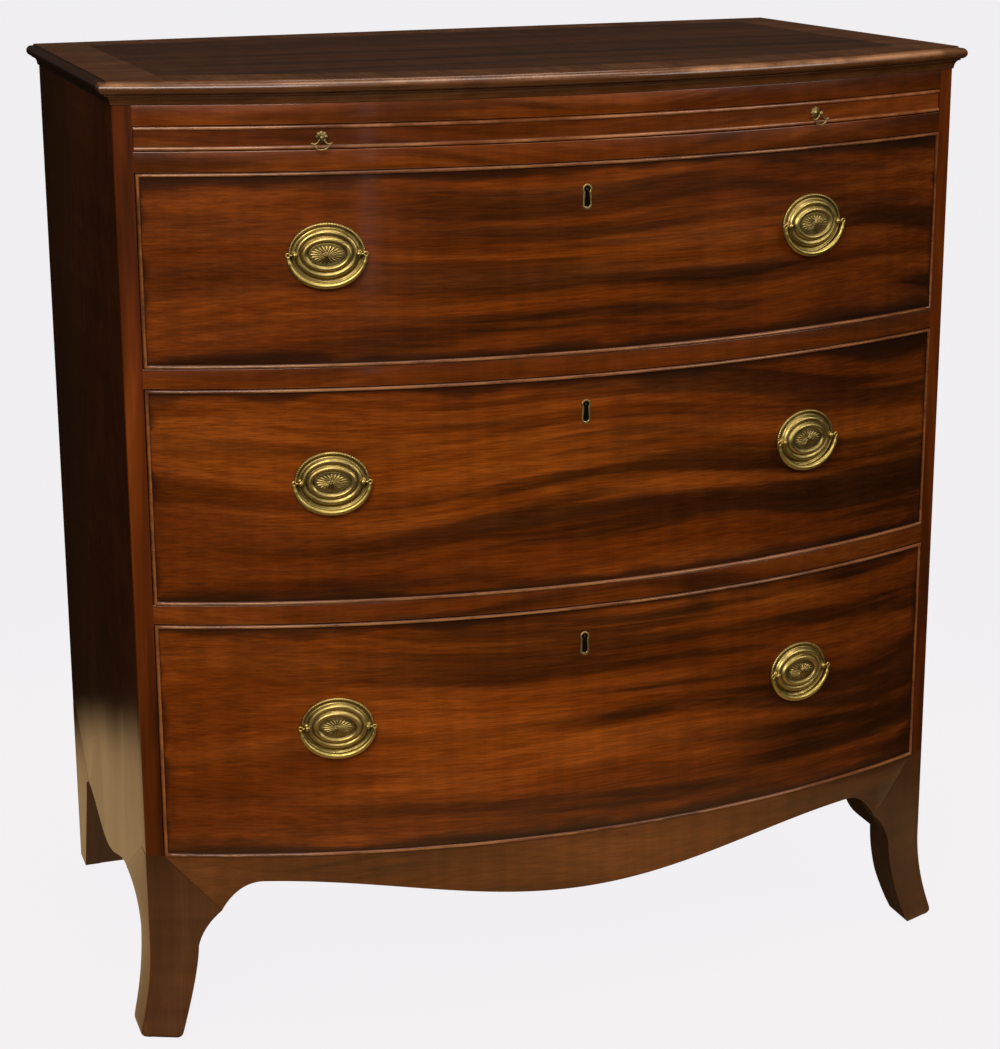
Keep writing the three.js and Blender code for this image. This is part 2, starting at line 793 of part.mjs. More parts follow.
// A frame of cockbead round a drawer front, mitred at its corners
function cockbead(half, z0, z1) {
  const middle = (z0 + z1) / 2;
  const tall = (z1 - z0) / 2;
  const round = beadWidth / 2;
  const section = [[0, -beadDepth], [0, beadProud - round]];
  for (let i = 1; i < beadSteps; i += 1) {
    const angle = Math.PI - (i / beadSteps) * Math.PI;
    section.push([round + round * Math.cos(angle), beadProud - round + round * Math.sin(angle)]);
  }
  section.push([beadWidth, beadProud - round], [beadWidth, -beadDepth]);
  const inner = spread(1 - bowFacets / 2, bowFacets / 2 - 1, bowFacets - 2);
  const corner = (signX, signZ) => section.map(([inward, offset]) => {
    const x = signX * (half - inward);
    return new THREE.Vector3(x, bowY(x, offset), middle + signZ * (tall - inward));
  });
  const strip = (index, signZ) => section.map(([inward, offset]) => {
    const point = bowVertex(index, offset);
    return new THREE.Vector3(point.x, point.y, middle + signZ * (tall - inward));
  });
  const lower = inner.map((index) => strip(index, -1));
  const upper = [...inner].reverse().map((index) => strip(index, 1));
  return loft([corner(-1, -1), ...lower, corner(1, -1), corner(1, 1), ...upper, corner(-1, 1)], true);
}

// Dovetail outlines across the board's thickness, widest at the tip
function tailOutlines(z0, z1, root, tip, grow) {
  const count = Math.round((z1 - z0) / tailPitch);
  const pitch = (z1 - z0) / count;
  const half = tailWidth / 2 + grow;
  return Array.from({ length: count }, (_, i) => {
    const middle = z0 + pitch * (i + 0.5);
    return [
      new THREE.Vector2(root, middle - half + tailSplay),
      new THREE.Vector2(tip, middle - half),
      new THREE.Vector2(tip, middle + half),
      new THREE.Vector2(root, middle + half - tailSplay),
    ];
  });
}

// Both rows of tails of a drawer's right side: into the front, and through the back
function tailForms(plan, inner, outer, grow) {
  const root = bowY(plan.half, -drawerFrontThickness) + tailRoot;
  const tip = bowY(plan.half - drawerSideThickness, -frontLap) - tuck;
  const front = tailOutlines(plan.floor, plan.sideTop, root, tip, grow);
  const rearRoot = plan.rear - drawerBackThickness - tailRoot;
  const rear = tailOutlines(plan.backFloor, plan.backTop, rearRoot, plan.rear + tuck, grow);
  const form = (outlines) => join(...outlines.map((outline) => solid(boardAlongX(outline, inner, outer))));
  return { front: form(front), rear: form(rear) };
}

function bothSides(body) {
  return body.add(solid(mirrored(shapeOf(body))));
}

function keyholeOutline(head, waist, foot, top, bottom, point) {
  const start = Math.asin(waist / head);
  const outline = spread(start, 2 * Math.PI - start, keyholeSteps).map((angle) => (
    new THREE.Vector2(-head * Math.sin(angle), top - head - head * Math.cos(angle))
  ));
  const left = [new THREE.Vector2(foot, bottom + point), new THREE.Vector2(foot / 2, bottom + point / 4)];
  const right = left.map((corner) => new THREE.Vector2(-corner.x, corner.y)).reverse();
  return [...outline, ...left, new THREE.Vector2(0, bottom), ...right];
}

function rimOutline(centre, grow) {
  const top = centre + keyRimHeight / 2 + grow;
  const bottom = centre - keyRimHeight / 2 - grow;
  const [head, waist, foot] = [keyRimWidth / 2, keyRimWaist, keyRimFoot].map((size) => size + grow);
  return keyholeOutline(head, waist, foot, top, bottom, keyRimPoint);
}

function slotOutline(centre) {
  const top = centre + keyRimHeight / 2 - keyRimWidth / 2 + keyHeadRadius;
  return keyholeOutline(keyHeadRadius, keySlotTop, keySlotFoot, top, top - keySlotLength, keySlotFoot / 2);
}

// The lock: a case let into the back of the front, a flange on its top edge and a bolt
const lockFace = -bowRise + drawerFrontThickness;

function lockCase(plan, grow, rear) {
  const half = lockWidth / 2 + grow;
  const sole = plan.keyhole - lockBelowKey - grow;
  const flange = plan.top - selvedgeThickness - grow;
  const body = box(-half, half, lockFace - lockDepth - grow, rear, sole, plan.top + grow);
  const plate = box(-half, half, lockFace - selvedgeDepth - grow, rear, flange, plan.top + grow);
  return join(solid(body), solid(plate));
}

function lockBolt(plan, grow, head) {
  const half = boltWidth / 2 + grow;
  const front = lockFace - lockDepth + boltSetback;
  const sole = plan.top - boltSink - boltHeight - grow;
  return box(-half, half, front - grow, front + boltThickness + grow, sole, head);
}

// A frame standing square to the bow at x, its own -Y pointing out of the front
function seat(parent, x, z, offset = 0) {
  const group = new THREE.Group();
  const radius = bowRadius + offset;
  const angle = Math.asin(x / radius);
  group.position.set(x, bowCentre - radius * Math.cos(angle), z);
  group.rotation.z = angle;
  group.updateMatrix();
  parent.add(group);
  return group;
}

// A round hole along the seat's own Y, from one depth to another
function hole(radius, x, y0, y1, sides) {
  return new THREE.CylinderGeometry(radius, radius, y1 - y0, sides).translate(x, (y0 + y1) / 2, 0);
}

// A round form across the seat, at the given height above the front
function pinForm(radius, x0, x1, stand) {
  const form = new THREE.CylinderGeometry(radius, radius, x1 - x0, postSides).rotateZ(Math.PI / 2);
  return form.translate((x0 + x1) / 2, -stand, 0);
}

// Rows of a ball on a stem: radius and height pairs, ending on the axis
function ballRows(radius, neck, stand) {
  const start = Math.asin(neck / radius);
  const rows = spread(start, Math.PI, ballSteps).slice(0, -1).map((angle) => (
    [radius * Math.sin(angle), stand - radius * Math.cos(angle)]
  ));
  return [...rows, [0, stand + radius]];
}

function plateForm() {
  const rings = plateRows.map(([a, b, height]) => Array.from({ length: plateSides }, (_, i) => {
    const angle = (i / plateSides) * 2 * Math.PI;
    return new THREE.Vector3(a * Math.cos(angle), -plateGap - height, b * Math.sin(angle));
  }));
  return loft(rings);
}

function postForm(side) {
  const nutFloor = drawerFrontThickness + nutGap;
  const profile = [
    [0, -nutFloor - nutThickness],
    [nutRadius, -nutFloor - nutThickness],
    [nutRadius, -nutFloor],
    [postRadius, -nutFloor],
    ...ballRows(ballRadius, postRadius, bailStand),
  ];
  const post = turned(profile, postSides).translate((side * postSpacing) / 2, 0, 0);
  const face = postSpacing / 2 + ballRadius;
  const [x0, x1] = [side * (face - pinDepth - pinGap), side * (face + tuck)].sort((a, b) => a - b);
  return { post: solid(post), bore: solid(pinForm(pinRadius + pinGap, x0, x1, bailStand)) };
}

function bailForm() {
  const restStand = plateGap + rimHeight + bailRimGap + bailTubeRadius;
  const first = Math.asin(eyeRadius / bailDrop);
  const angles = spread(first, Math.PI - first, bailSteps);
  const points = angles.map((angle) => {
    const drop = Math.sin(angle);
    const stand = THREE.MathUtils.lerp(bailStand, restStand, drop);
    return new THREE.Vector3(bailReach * Math.cos(angle), -stand, -bailDrop * drop);
  });
  const radii = angles.map((angle) => THREE.MathUtils.lerp(bailEndRadius, bailTubeRadius, Math.sin(angle)));
  const rod = tube(points, radii, bailSides, new THREE.Vector3(0, 1, 0));
  const pinTip = postSpacing / 2 + ballRadius - pinDepth;
  const ends = [-1, 1].flatMap((side) => {
    const eye = new THREE.TorusGeometry(eyeRadius, eyeTube, eyeTubeSides, eyeSides).rotateX(Math.PI / 2);
    const [x0, x1] = [side * pinTip, side * (bailReach - eyeRadius)].sort((a, b) => a - b);
    return [eye.translate(side * bailReach, -bailStand, 0), pinForm(pinRadius, x0, x1, bailStand)];
  });
  return shapeOf(join(...[rod, ...ends].map(solid)));
}

function drawerFront(plan, handles) {
  const { half, floor, top } = plan;
  const inset = beadWidth + jointGap;
  const inside = -drawerFrontThickness;
  const backing = solid(bowBoard(half, floor, top, -beadDepth - jointGap, inside));
  const face = solid(bowBoard(half - inset, floor + inset, top - inset, 0, inside + overrun));
  const grooveHalf = half - drawerSideThickness + drawerGrooveDepth;
  const grooveSole = inside + drawerGrooveDepth;
  const groove = bowBoard(grooveHalf, plan.grooveFloor, plan.grooveTop, grooveSole, inside - overrun);
  const band = solid(bowBoard(half + 2 * overrun, floor, top, -frontLap, inside - overrun));
  const inner = half - drawerSideThickness - dovetailGap;
  const sockets = tailForms(plan, inner, half + overrun, dovetailGap).front.intersect(band);
  const mortise = lockCase(plan, jointGap, lockFace + overrun);
  const before = -bowRise - overrun;
  const rim = boardAlongY(rimOutline(plan.keyhole, keyGap), before, -bowRise + keyRimDepth + keyGap);
  const slot = boardAlongY(slotOutline(plan.keyhole), before, lockFace + overrun);
  const holes = handles.flatMap((group) => [-1, 1].map((side) => {
    const depth = drawerFrontThickness + overrun;
    const form = hole(postRadius + postHoleGap, (side * postSpacing) / 2, -overrun, depth, postSides);
    return form.applyMatrix4(group.matrix);
  }));
  const tools = [groove, rim, slot, ...holes].map(solid);
  return shapeOf(cut(join(backing, face), bothSides(sockets), mortise, ...tools));
}

function drawerSide(plan) {
  const { half, floor, sideTop, rear } = plan;
  const inner = half - drawerSideThickness;
  const reach = solid(bowBlock(half + overrun, rear, floor, sideTop, -frontLap - dovetailGap));
  const blank = solid(box(inner, half, -bowRise, rear, floor, sideTop)).intersect(reach);
  const tails = tailForms(plan, inner, half, 0);
  const shoulder = -drawerFrontThickness - dovetailGap;
  const start = inner - overrun;
  const frontZone = solid(bowBoard(half + overrun, floor - overrun, sideTop + overrun, 0, shoulder, start));
  const seatFront = rear - drawerBackThickness - dovetailGap;
  const rearZone = solid(box(
    start,
    half + overrun,
    seatFront,
    rear + overrun,
    plan.backFloor - dovetailGap,
    plan.backTop + dovetailGap,
  ));
  const sole = inner + drawerGrooveDepth;
  const groove = solid(box(start, sole, -bowRise, rear + overrun, plan.grooveFloor, plan.grooveTop));
  return shapeOf(cut(blank, frontZone.subtract(tails.front), rearZone.subtract(tails.rear), groove));
}

function drawerBack(plan) {
  const { half, rear } = plan;
  const board = solid(box(-half, half, rear - drawerBackThickness, rear, plan.backFloor, plan.backTop));
  const inner = half - drawerSideThickness - dovetailGap;
  return shapeOf(cut(board, bothSides(tailForms(plan, inner, half + overrun, dovetailGap).rear)));
}

function buildDrawer(index) {
  const name = `drawer_${['lower', 'middle', 'upper'][index]}`;
  const drawer = new THREE.Group();
  chest.add(drawer);
  const floor = drawerFloors[index];
  const top = floor + drawerHeights[index];
  const bottomFloor = floor + drawerBottomRise;
  const bottomTop = bottomFloor + drawerBottomThickness;
  const plan = {
    half: halfInside - drawerSideGap,
    floor,
    top,
    sideTop: top - beadWidth,
    rear: backInside - drawerRearGap,
    keyhole: top - keyholeDrops[index],
    grooveFloor: bottomFloor - jointGap,
    grooveTop: bottomTop + jointGap,
    backFloor: bottomTop + jointGap,
    backTop: top - drawerBackDrop,
  };
  const handleHeight = (floor + top) / 2 + handleRise;
  const handles = [-handleReach, handleReach].map((x) => seat(drawer, x, handleHeight));

  piece(drawer, `${name}_front`, drawerFront(plan, handles), 'mahogany');
  piece(drawer, `${name}_cockbead`, cockbead(plan.half, floor, top), 'bead');
  const side = drawerSide(plan);
  piece(drawer, `${name}_side_right`, side, 'oak');
  piece(drawer, `${name}_side_left`, mirrored(side), 'oak');
  piece(drawer, `${name}_back`, drawerBack(plan), 'oak');
  const bottomHalf = plan.half - drawerSideThickness + drawerGrooveDepth - jointGap;
  const bottomFront = -drawerFrontThickness + drawerGrooveDepth - jointGap;
  const bottom = bowBlock(bottomHalf, plan.rear, bottomFloor, bottomTop, bottomFront);
  piece(drawer, `${name}_bottom`, bottom, 'oak');

  const boltRoom = solid(lockBolt(plan, jointGap, top + overrun));
  const slot = solid(boardAlongY(slotOutline(plan.keyhole), -bowRise - overrun, lockFace - lockDepth / 2));
  piece(drawer, `${name}_lock`, shapeOf(cut(lockCase(plan, 0, lockFace), boltRoom, slot)), 'brass');
  piece(drawer, `${name}_lock_bolt`, lockBolt(plan, 0, top - boltSink), 'brass');
  const rim = boardAlongY(rimOutline(plan.keyhole, 0), -bowRise - keyRimProud, -bowRise + keyRimDepth);
  piece(drawer, `${name}_escutcheon`, shapeOf(cut(solid(rim), slot)), 'brass');

  handles.forEach((group, side) => {
    const hand = ['left', 'right'][side];
    const posts = [-1, 1].map(postForm);
    const plate = join(solid(plateForm()), ...posts.map(({ post }) => post));
    piece(group, `${name}_plate_${hand}`, shapeOf(cut(plate, ...posts.map(({ bore }) => bore))), 'brass');
    piece(group, `${name}_bail_${hand}`, bailForm(), 'brass');
  });
}

// Brushing slide: a bowed slab with a bead along both edges of its front
function slideRings(half) {
  const rows = spread(0, Math.PI, slideBeadSteps).map((angle) => [
    Math.max(slideBeadRadius * (Math.sin(angle) - 1), -slideRecess),
    slideBeadRadius * (1 - Math.cos(angle)),
  ]);
  const upper = [...rows].reverse().map(([out, rise]) => [out, slideThickness - rise]);
  return [...rows, ...upper].map(([out, rise]) => slabRing(half, out, slideDepth, slideFloor + rise));
}

function pullForms() {
  const profile = [
    [0, -pullShank],
    [pullPostRadius, -pullShank],
    [pullPostRadius, plateGap],
    [rosetteRadius, plateGap],
    [rosetteRadius - rosetteThickness / 2, plateGap + rosetteThickness],
    [pullPostRadius, plateGap + 2 * rosetteThickness],
    ...ballRows(pullBallRadius, pullPostRadius, pullStand),
  ];
  const bore = pinForm(ringTube + ringPinGap, -pullBallRadius - tuck, pullBallRadius + tuck, pullStand);
  const pull = cut(solid(turned(profile, ringTurns)), solid(bore));
  const right = ringPath.map(([reach, drop]) => new THREE.Vector3(reach, -pullStand, -drop));
  const left = [...right].reverse().slice(1).map((point) => new THREE.Vector3(-point.x, point.y, point.z));
  const path = [...right, ...left];
  const loop = tube(path, path.map(() => ringTube), ringSides, new THREE.Vector3(0, 1, 0));
  const bar = pinForm(ringTube, -ringPath[0][0] - ringTube, ringPath[0][0] + ringTube, pullStand);
  return { pull: shapeOf(pull), ring: shapeOf(join(solid(loop), solid(bar))) };
}

function buildSlide() {
  const slide = new THREE.Group();
  chest.add(slide);
  const middle = slideFloor + slideThickness / 2;
  const seats = [-pullReach, pullReach].map((x) => seat(slide, x, middle, -slideRecess));
  const holes = seats.map((group) => {
    const form = hole(pullPostRadius + postHoleGap, 0, -overrun, pullShank + postHoleGap, postSides);
    return solid(form.applyMatrix4(group.matrix));
  });
  const slab = cut(solid(loft(slideRings(halfInside - slideSideGap), false, outlineFaces)), ...holes);
  piece(slide, 'brushing_slide', shapeOf(slab), 'mahogany');
  seats.forEach((group, side) => {
    const hand = ['left', 'right'][side];
    const { pull, ring } = pullForms();
    piece(group, `slide_pull_${hand}`, pull, 'brass');
    piece(group, `slide_ring_${hand}`, ring, 'brass');
  });
}

buildTop();
buildSides();
buildRails();
buildBottomAndBack();
buildApron();
buildFrontFeet();
buildRearFeet();
drawerHeights.forEach((_, index) => buildDrawer(index));
buildSlide();

export default chest;
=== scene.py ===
"""Bow-front chest of drawers: the finish of every piece, and the fine forms of the
bowed fronts, mouldings, feet and brasses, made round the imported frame."""
from math import asin, cos, exp, pi, radians, sin, sqrt, tau

import bmesh
import bpy
from mathutils import Matrix, Vector


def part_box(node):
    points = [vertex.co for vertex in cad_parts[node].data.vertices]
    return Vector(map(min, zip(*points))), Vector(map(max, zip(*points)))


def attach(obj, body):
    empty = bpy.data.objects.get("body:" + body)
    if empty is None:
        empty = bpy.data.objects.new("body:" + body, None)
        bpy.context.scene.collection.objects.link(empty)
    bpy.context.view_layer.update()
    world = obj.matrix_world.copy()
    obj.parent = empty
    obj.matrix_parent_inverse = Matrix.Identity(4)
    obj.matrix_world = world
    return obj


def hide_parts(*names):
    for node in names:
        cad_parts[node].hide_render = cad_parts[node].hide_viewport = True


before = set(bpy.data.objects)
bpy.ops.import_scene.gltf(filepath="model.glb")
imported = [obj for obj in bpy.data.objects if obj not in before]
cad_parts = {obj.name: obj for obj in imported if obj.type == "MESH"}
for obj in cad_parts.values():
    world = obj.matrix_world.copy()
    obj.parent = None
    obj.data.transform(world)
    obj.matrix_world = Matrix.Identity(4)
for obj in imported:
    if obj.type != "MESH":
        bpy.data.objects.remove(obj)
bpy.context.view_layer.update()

# Millimetres in metres
MM = 0.001

# The case and its bowed front, read from the frame but for the depth at its corners
SIDE_LOW, SIDE_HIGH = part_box("side_right")
TOP_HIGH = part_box("top")[1]
BACK_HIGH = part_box("back")[1]
APRON_LOW, APRON_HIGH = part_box("apron")
HALF = SIDE_HIGH.x
INSIDE = SIDE_LOW.x
CORNER_DEPTH = 471 * MM
CORNER_Y = SIDE_HIGH.y - CORNER_DEPTH
RISE = CORNER_Y - APRON_LOW.y
RADIUS = (HALF**2 + RISE**2) / (2 * RISE)
CENTRE_Y = CORNER_Y + RADIUS - RISE

# Sizes that several pieces share, in metres, and the steps along the bow
BEAD_WIDTH = 3.5 * MM
PROUD = 0.12 * MM
BOW_COLUMNS = 96

# The case in millimetres
HALF_MM = HALF / MM
BASE = APRON_HIGH.z / MM
CARCASS_TOP = SIDE_HIGH.z / MM

HANDS = {"left": -1, "right": 1}

# Seed of each drawer's veneer, and the strength of its dark streaks
DRAWERS = {"lower": (3.1, 0.88), "middle": (7.7, 0.84), "upper": (5.2, 0.95)}


def bow_y(x, out=0.0):
    """Y of the bowed front at x, moved out by the given distance."""
    return CENTRE_Y - sqrt((RADIUS + out) ** 2 - x * x)


def spread(low, high, steps):
    """Evenly spaced values from low to high, both ends included."""
    return [low + (high - low) * i / steps for i in range(steps + 1)]


def around(sides):
    """Evenly spaced angles of one full turn."""
    return spread(0, tau, sides)[:-1]


def mix(a, b, t):
    return a + (b - a) * t


def quadratic(a, b, c, steps):
    """Points of a quadratic curve through a and c that bends towards b."""
    return [
        tuple((1 - t) ** 2 * p + 2 * t * (1 - t) * q + t * t * r for p, q, r in zip(a, b, c))
        for t in spread(0, 1, steps)
    ]


def eased_corner(z, radius, steps=3):
    """The rounded lower arris of a board, as (out, z) pairs."""
    return [
        (-radius + radius * sin(a), z + radius - radius * cos(a))
        for a in spread(0, pi / 2, steps)
    ]


def mirrored(lower, low, high):
    """The upper half of a section from its lower half."""
    return [(out, low + high - z) for out, z in reversed(lower)]


def smooth(mesh, sharp):
    """Shades a mesh smooth but for edges sharper than an angle in degrees."""
    mesh.shade_smooth()
    mesh.set_sharp_from_angle(angle=radians(sharp))


def shown(name, data):
    """A new object in the scene."""
    piece = bpy.data.objects.new(name, data)
    bpy.context.scene.collection.objects.link(piece)
    return piece


class Skin:
    """Gathers vertices and faces for one object."""

    def __init__(self):
        self.points = []
        self.faces = []
        self.slots = []

    def face(self, corners, slot=0):
        self.faces.append(tuple(corners))
        self.slots.append(slot)

    def loft(self, rings, looped=False, ends=True, slot=0):
        """Skins closed rings of points in a row, and caps or joins the ends."""
        count = len(rings[0])
        start = len(self.points)
        for ring in rings:
            self.points.extend(Vector(point) for point in ring)
        for band in range(len(rings) if looped else len(rings) - 1):
            low = start + band * count
            high = start + (band + 1) % len(rings) * count
            for i in range(count):
                j = (i + 1) % count
                self.face((low + i, low + j, high + j, high + i), slot)
        if ends and not looped:
            last = len(self.points) - count
            self.face(range(start + count - 1, start - 1, -1), slot)
            self.face(range(last, last + count), slot)

    def tube(self, path, radii, sides=10, normal=Vector((0, 1, 0)), looped=False):
        """A round bar along a path that stays square to the normal."""
        rings = []
        for i, point in enumerate(path):
            before = path[i - 1] if looped or i else path[i]
            after = path[(i + 1) % len(path)] if looped or i < len(path) - 1 else path[i]
            along = (after - before).normalized()
            across = along.cross(normal).normalized()
            square = across.cross(along)
            rings.append([
                point + (across * cos(a) + square * sin(a)) * radii[i] for a in around(sides)
            ])
        self.loft(rings, looped)

    def turned(self, profile, at=Vector(), sides=24):
        """A turned form about an axis along -Y, from radius and height pairs off the axis."""
        self.loft([
            [at + Vector((r * cos(a), -h, r * sin(a))) for a in around(sides)]
            for r, h in profile
        ])

    def make(self, name, finish_names, body, replaces=(), matrix=None, sharp=35.0):
        mesh = bpy.data.meshes.new(name)
        points = [matrix @ point for point in self.points] if matrix else self.points
        mesh.from_pydata(points, [], self.faces)
        for finish in finish_names:
            mesh.materials.append(finishes[finish])
        mesh.polygons.foreach_set("material_index", self.slots)
        work = bmesh.new()
        work.from_mesh(mesh)
        bmesh.ops.recalc_face_normals(work, faces=work.faces)
        work.to_mesh(mesh)
        work.free()
        smooth(mesh, sharp)
        piece = shown(name, mesh)
        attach(piece, body)
        if replaces:
            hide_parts(*replaces)
        return piece


def paint(piece, layer, values=(), rest=0.0):
    """Stores a value for each vertex, to be read by a finish. The last ones get the rest."""
    filler = [rest] * (len(piece.data.vertices) - len(values))
    piece.data.attributes.new(layer, "FLOAT", "POINT").data.foreach_set("value", [*values, *filler])


class Finish:
    """A node material, or the world, with short calls for the nodes that it uses."""

    def __init__(self, name, kind="materials", shader="Principled BSDF"):
        self.material = getattr(bpy.data, kind).new(name)
        self.material.use_nodes = True
        self.tree = self.material.node_tree
        self.shader = self.tree.nodes[shader]

    def add(self, kind, inputs=None, **settings):
        node = self.tree.nodes.new("ShaderNode" + kind)
        for key, value in settings.items():
            setattr(node, key, value)
        for key, value in (inputs or {}).items():
            self.feed(node.inputs[key], value)
        return node

    def feed(self, socket, value):
        if isinstance(value, bpy.types.NodeSocket):
            self.tree.links.new(value, socket)
        elif isinstance(value, tuple) and len(value) == 3 and socket.type == "RGBA":
            socket.default_value = (*value, 1)
        else:
            socket.default_value = value

    def surface(self, **values):
        """Sets or feeds inputs of the shader, such as base_color or coat_weight."""
        for key, value in values.items():
            words = [word.upper() if word == "ior" else word.capitalize() for word in key.split("_")]
            self.feed(self.shader.inputs[" ".join(words)], value)

    def cover(self, mask, colour, how="MIX"):
        """Lays a colour over the base colour, as far as the mask says."""
        under = self.shader.inputs["Base Color"].links[0].from_socket
        self.surface(base_color=self.blend(mask, under, colour, how))

    def math(self, operation, a, b=0.0):
        return self.add("Math", {0: a, 1: b}, operation=operation).outputs[0]

    def less(self, a, b):
        return self.math("SUBTRACT", a, b)

    def times(self, a, b):
        return self.math("MULTIPLY", a, b)

    def grey(self, value):
        return self.add("CombineColor", {0: value, 1: value, 2: value}).outputs[0]

    def noise(self, vector, scale, offset=(0, 0, 0), detail=2.0, roughness=0.5, distortion=0.0):
        """Noise over coordinates that are stretched and moved along each axis."""
        placed = self.add("Mapping", {"Vector": vector, "Scale": scale, "Location": offset}).outputs[0]
        return self.add("TexNoise", {
            "Vector": placed, "Scale": 1.0, "Detail": detail,
            "Roughness": roughness, "Distortion": distortion,
        }).outputs["Fac"]

    def between(self, value, low, high, to_low=0.0, to_high=1.0):
        """A smooth step of a value between two marks."""
        return self.add("MapRange", {
            "Value": value, "From Min": low, "From Max": high, "To Min": to_low, "To Max": to_high,
        }, clamp=True, interpolation_type="SMOOTHSTEP").outputs[0]

    def blend(self, factor, a, b, how="MIX"):
        node = self.add("Mix", data_type="RGBA", blend_type=how)
        self.feed(node.inputs[0], factor)
        self.feed(node.inputs[6], a)
        self.feed(node.inputs[7], b)
        return node.outputs[2]

    def ramp(self, value, low, high, colours):
        """Even steps of colour from a low to a high value."""
        node = self.add("ValToRGB", {"Fac": value})
        elements = node.color_ramp.elements
        for i, colour in enumerate(colours):
            place = mix(low, high, i / (len(colours) - 1))
            element = elements[i] if i < 2 else elements.new(place)
            element.position = place
            element.color = (*colour, 1)
        return node.outputs["Color"]

    def bump(self, height, strength, distance=0.0005):
        node = self.add("Bump", {"Height": height, "Strength": strength, "Distance": distance})
        self.surface(normal=node.outputs[0])

    def place(self):
        return self.add("TexCoord").outputs["Object"]

    def coordinate(self, axis):
        return self.add("SeparateXYZ", {0: self.place()}).outputs[axis]

    def radius_out(self):
        """How far a point stands out of the true bow, in metres."""
        x = self.coordinate("X")
        y = self.less(self.coordinate("Y"), CENTRE_Y)
        squares = self.math("ADD", self.times(x, x), self.times(y, y))
        return self.less(self.math("SQRT", squares), RADIUS)


# Which axes run with the grain and across it, and how far a seed moves the pattern
AXES = {"x": "XYZ", "y": "YXZ", "z": "ZYX"}
SEED_SHIFT = (1.37, 0.73, 2.11)

# How much a thin board's noise is stretched through its thickness
THIN = 0.15


def along_grain(finish, grain, seed):
    """Coordinates whose X runs with the grain: the other two cross it."""
    sockets = {to: finish.coordinate(axis) for to, axis in zip("XYZ", AXES[grain])}
    joined = finish.add("CombineXYZ", sockets).outputs[0]
    shift = tuple(seed * part for part in SEED_SHIFT)
    return finish.add("Mapping", {"Vector": joined, "Location": shift}).outputs[0]


def wood(name, grain, colours, seed, streaks, scale, rough=0.3, coat=0.4, fibre=0.16, mottle=0.10,
         thin=True, streak_mask=None, stripe=(0.48, 0.66), scatter=0.15):
    """Polished wood. Colours: the dark streak, then from the deep to the bright tone."""
    finish = Finish(name)
    place = along_grain(finish, grain, seed)
    side = THIN if thin else 1.0
    along, across = scale

    def layer(source, length, width, offset=(0, 0, 0), **kind):
        return finish.noise(source, (length, width * side, width), offset, **kind)

    bend = finish.noise(place, (2.0, 2.0 * side, 6.0), detail=1.0)
    lift = finish.times(finish.less(bend, 0.5), 0.10)
    bent = finish.add("VectorMath", {
        0: place, 1: finish.add("CombineXYZ", {"Z": lift}).outputs[0],
    }, operation="ADD").outputs[0]

    broad = layer(bent, along * 0.5, across * 0.3, detail=2.0)
    bands = layer(bent, along * 1.3, across * 1.6, (5, 1, 2), detail=3.0, roughness=0.6)
    fibres = layer(bent, 9, 230, (3, 8, 6), detail=3.0, roughness=0.65)
    tone = finish.math("ADD", finish.times(broad, 0.42), finish.times(bands, 0.32))
    tone = finish.math("ADD", tone, finish.times(fibres, 0.26))
    finish.surface(base_color=finish.ramp(tone, 0.36, 0.64, colours[1:]))

    figure = layer(bent, along * 0.8, across, (2, 7, 4), detail=3.0, roughness=0.5, distortion=0.15)
    cluster = layer(bent, along * 0.45, across * 0.16, (9, 3, 1), detail=1.0)
    frayed = finish.math("ADD", figure, finish.times(finish.less(fibres, 0.5), 0.22))
    gathered = finish.between(cluster, 0.34, 0.58, scatter, streaks)
    dark = finish.times(finish.between(frayed, *stripe), gathered)
    if streak_mask:
        dark = finish.times(dark, streak_mask(finish))
    finish.cover(dark, colours[0])

    hairs = layer(place, 30, 800, detail=2.0, roughness=0.6)
    ripple = finish.noise(place, (64, 14 * side, 7))
    shade = finish.times(finish.between(hairs, 0.3, 0.7, 1 - fibre, 1 + fibre),
                         finish.between(ripple, 0.3, 0.7, 1 - mottle, 1 + mottle))
    finish.cover(1.0, finish.grey(shade), "MULTIPLY")
    pores = layer(place, 110, 2200, detail=1.0)
    finish.cover(finish.between(pores, 0.62, 0.78, 0.0, 0.45), colours[0])

    finish.surface(roughness=finish.between(bands, 0.2, 0.8, rough * 0.85, rough * 1.2),
                   coat_weight=coat, coat_roughness=0.1, specular_ior_level=0.2)
    finish.bump(hairs, 0.06)
    return finish


def plain_wood(name, grain, colours, seed, scale):
    """Bare wood with little figure."""
    return wood(name, grain, colours, seed, 0.25, scale, rough=0.62, coat=0.0, mottle=0.03, thin=False)


def wood_tone(finish, grain, colours, seed):
    """A plain run of wood colour with the given grain, for use inside another finish."""
    place = along_grain(finish, grain, seed)
    tone = finish.noise(place, (3, 6, 40), detail=3.0, roughness=0.6, distortion=0.2)
    return finish.ramp(tone, 0.3, 0.7, colours)


def worn_highlit_edges(finish, colour, most=0.85):
    """Lays a pale colour in patches on the arrises that the attribute marks: wear with a painted highlight.
    """
    patches = finish.noise(finish.place(), (11, 11, 11), detail=4.0, roughness=0.65)
    wear_highlight = finish.add("Attribute", attribute_name="wear_highlight").outputs["Fac"]
    finish.cover(finish.times(wear_highlight, finish.between(patches, 0.36, 0.64, most * 0.15, most)), colour)
    return finish


def shade_to_right(finish, start, end, least):
    """Darkens a finish from left to right: painted shade, for the light that falls from the left, with some
    of the wood's own darker tone.
    """
    shade = finish.between(finish.coordinate("X"), start, end, 1.0, least)
    finish.cover(1.0, finish.grey(shade), "MULTIPLY")
    return finish


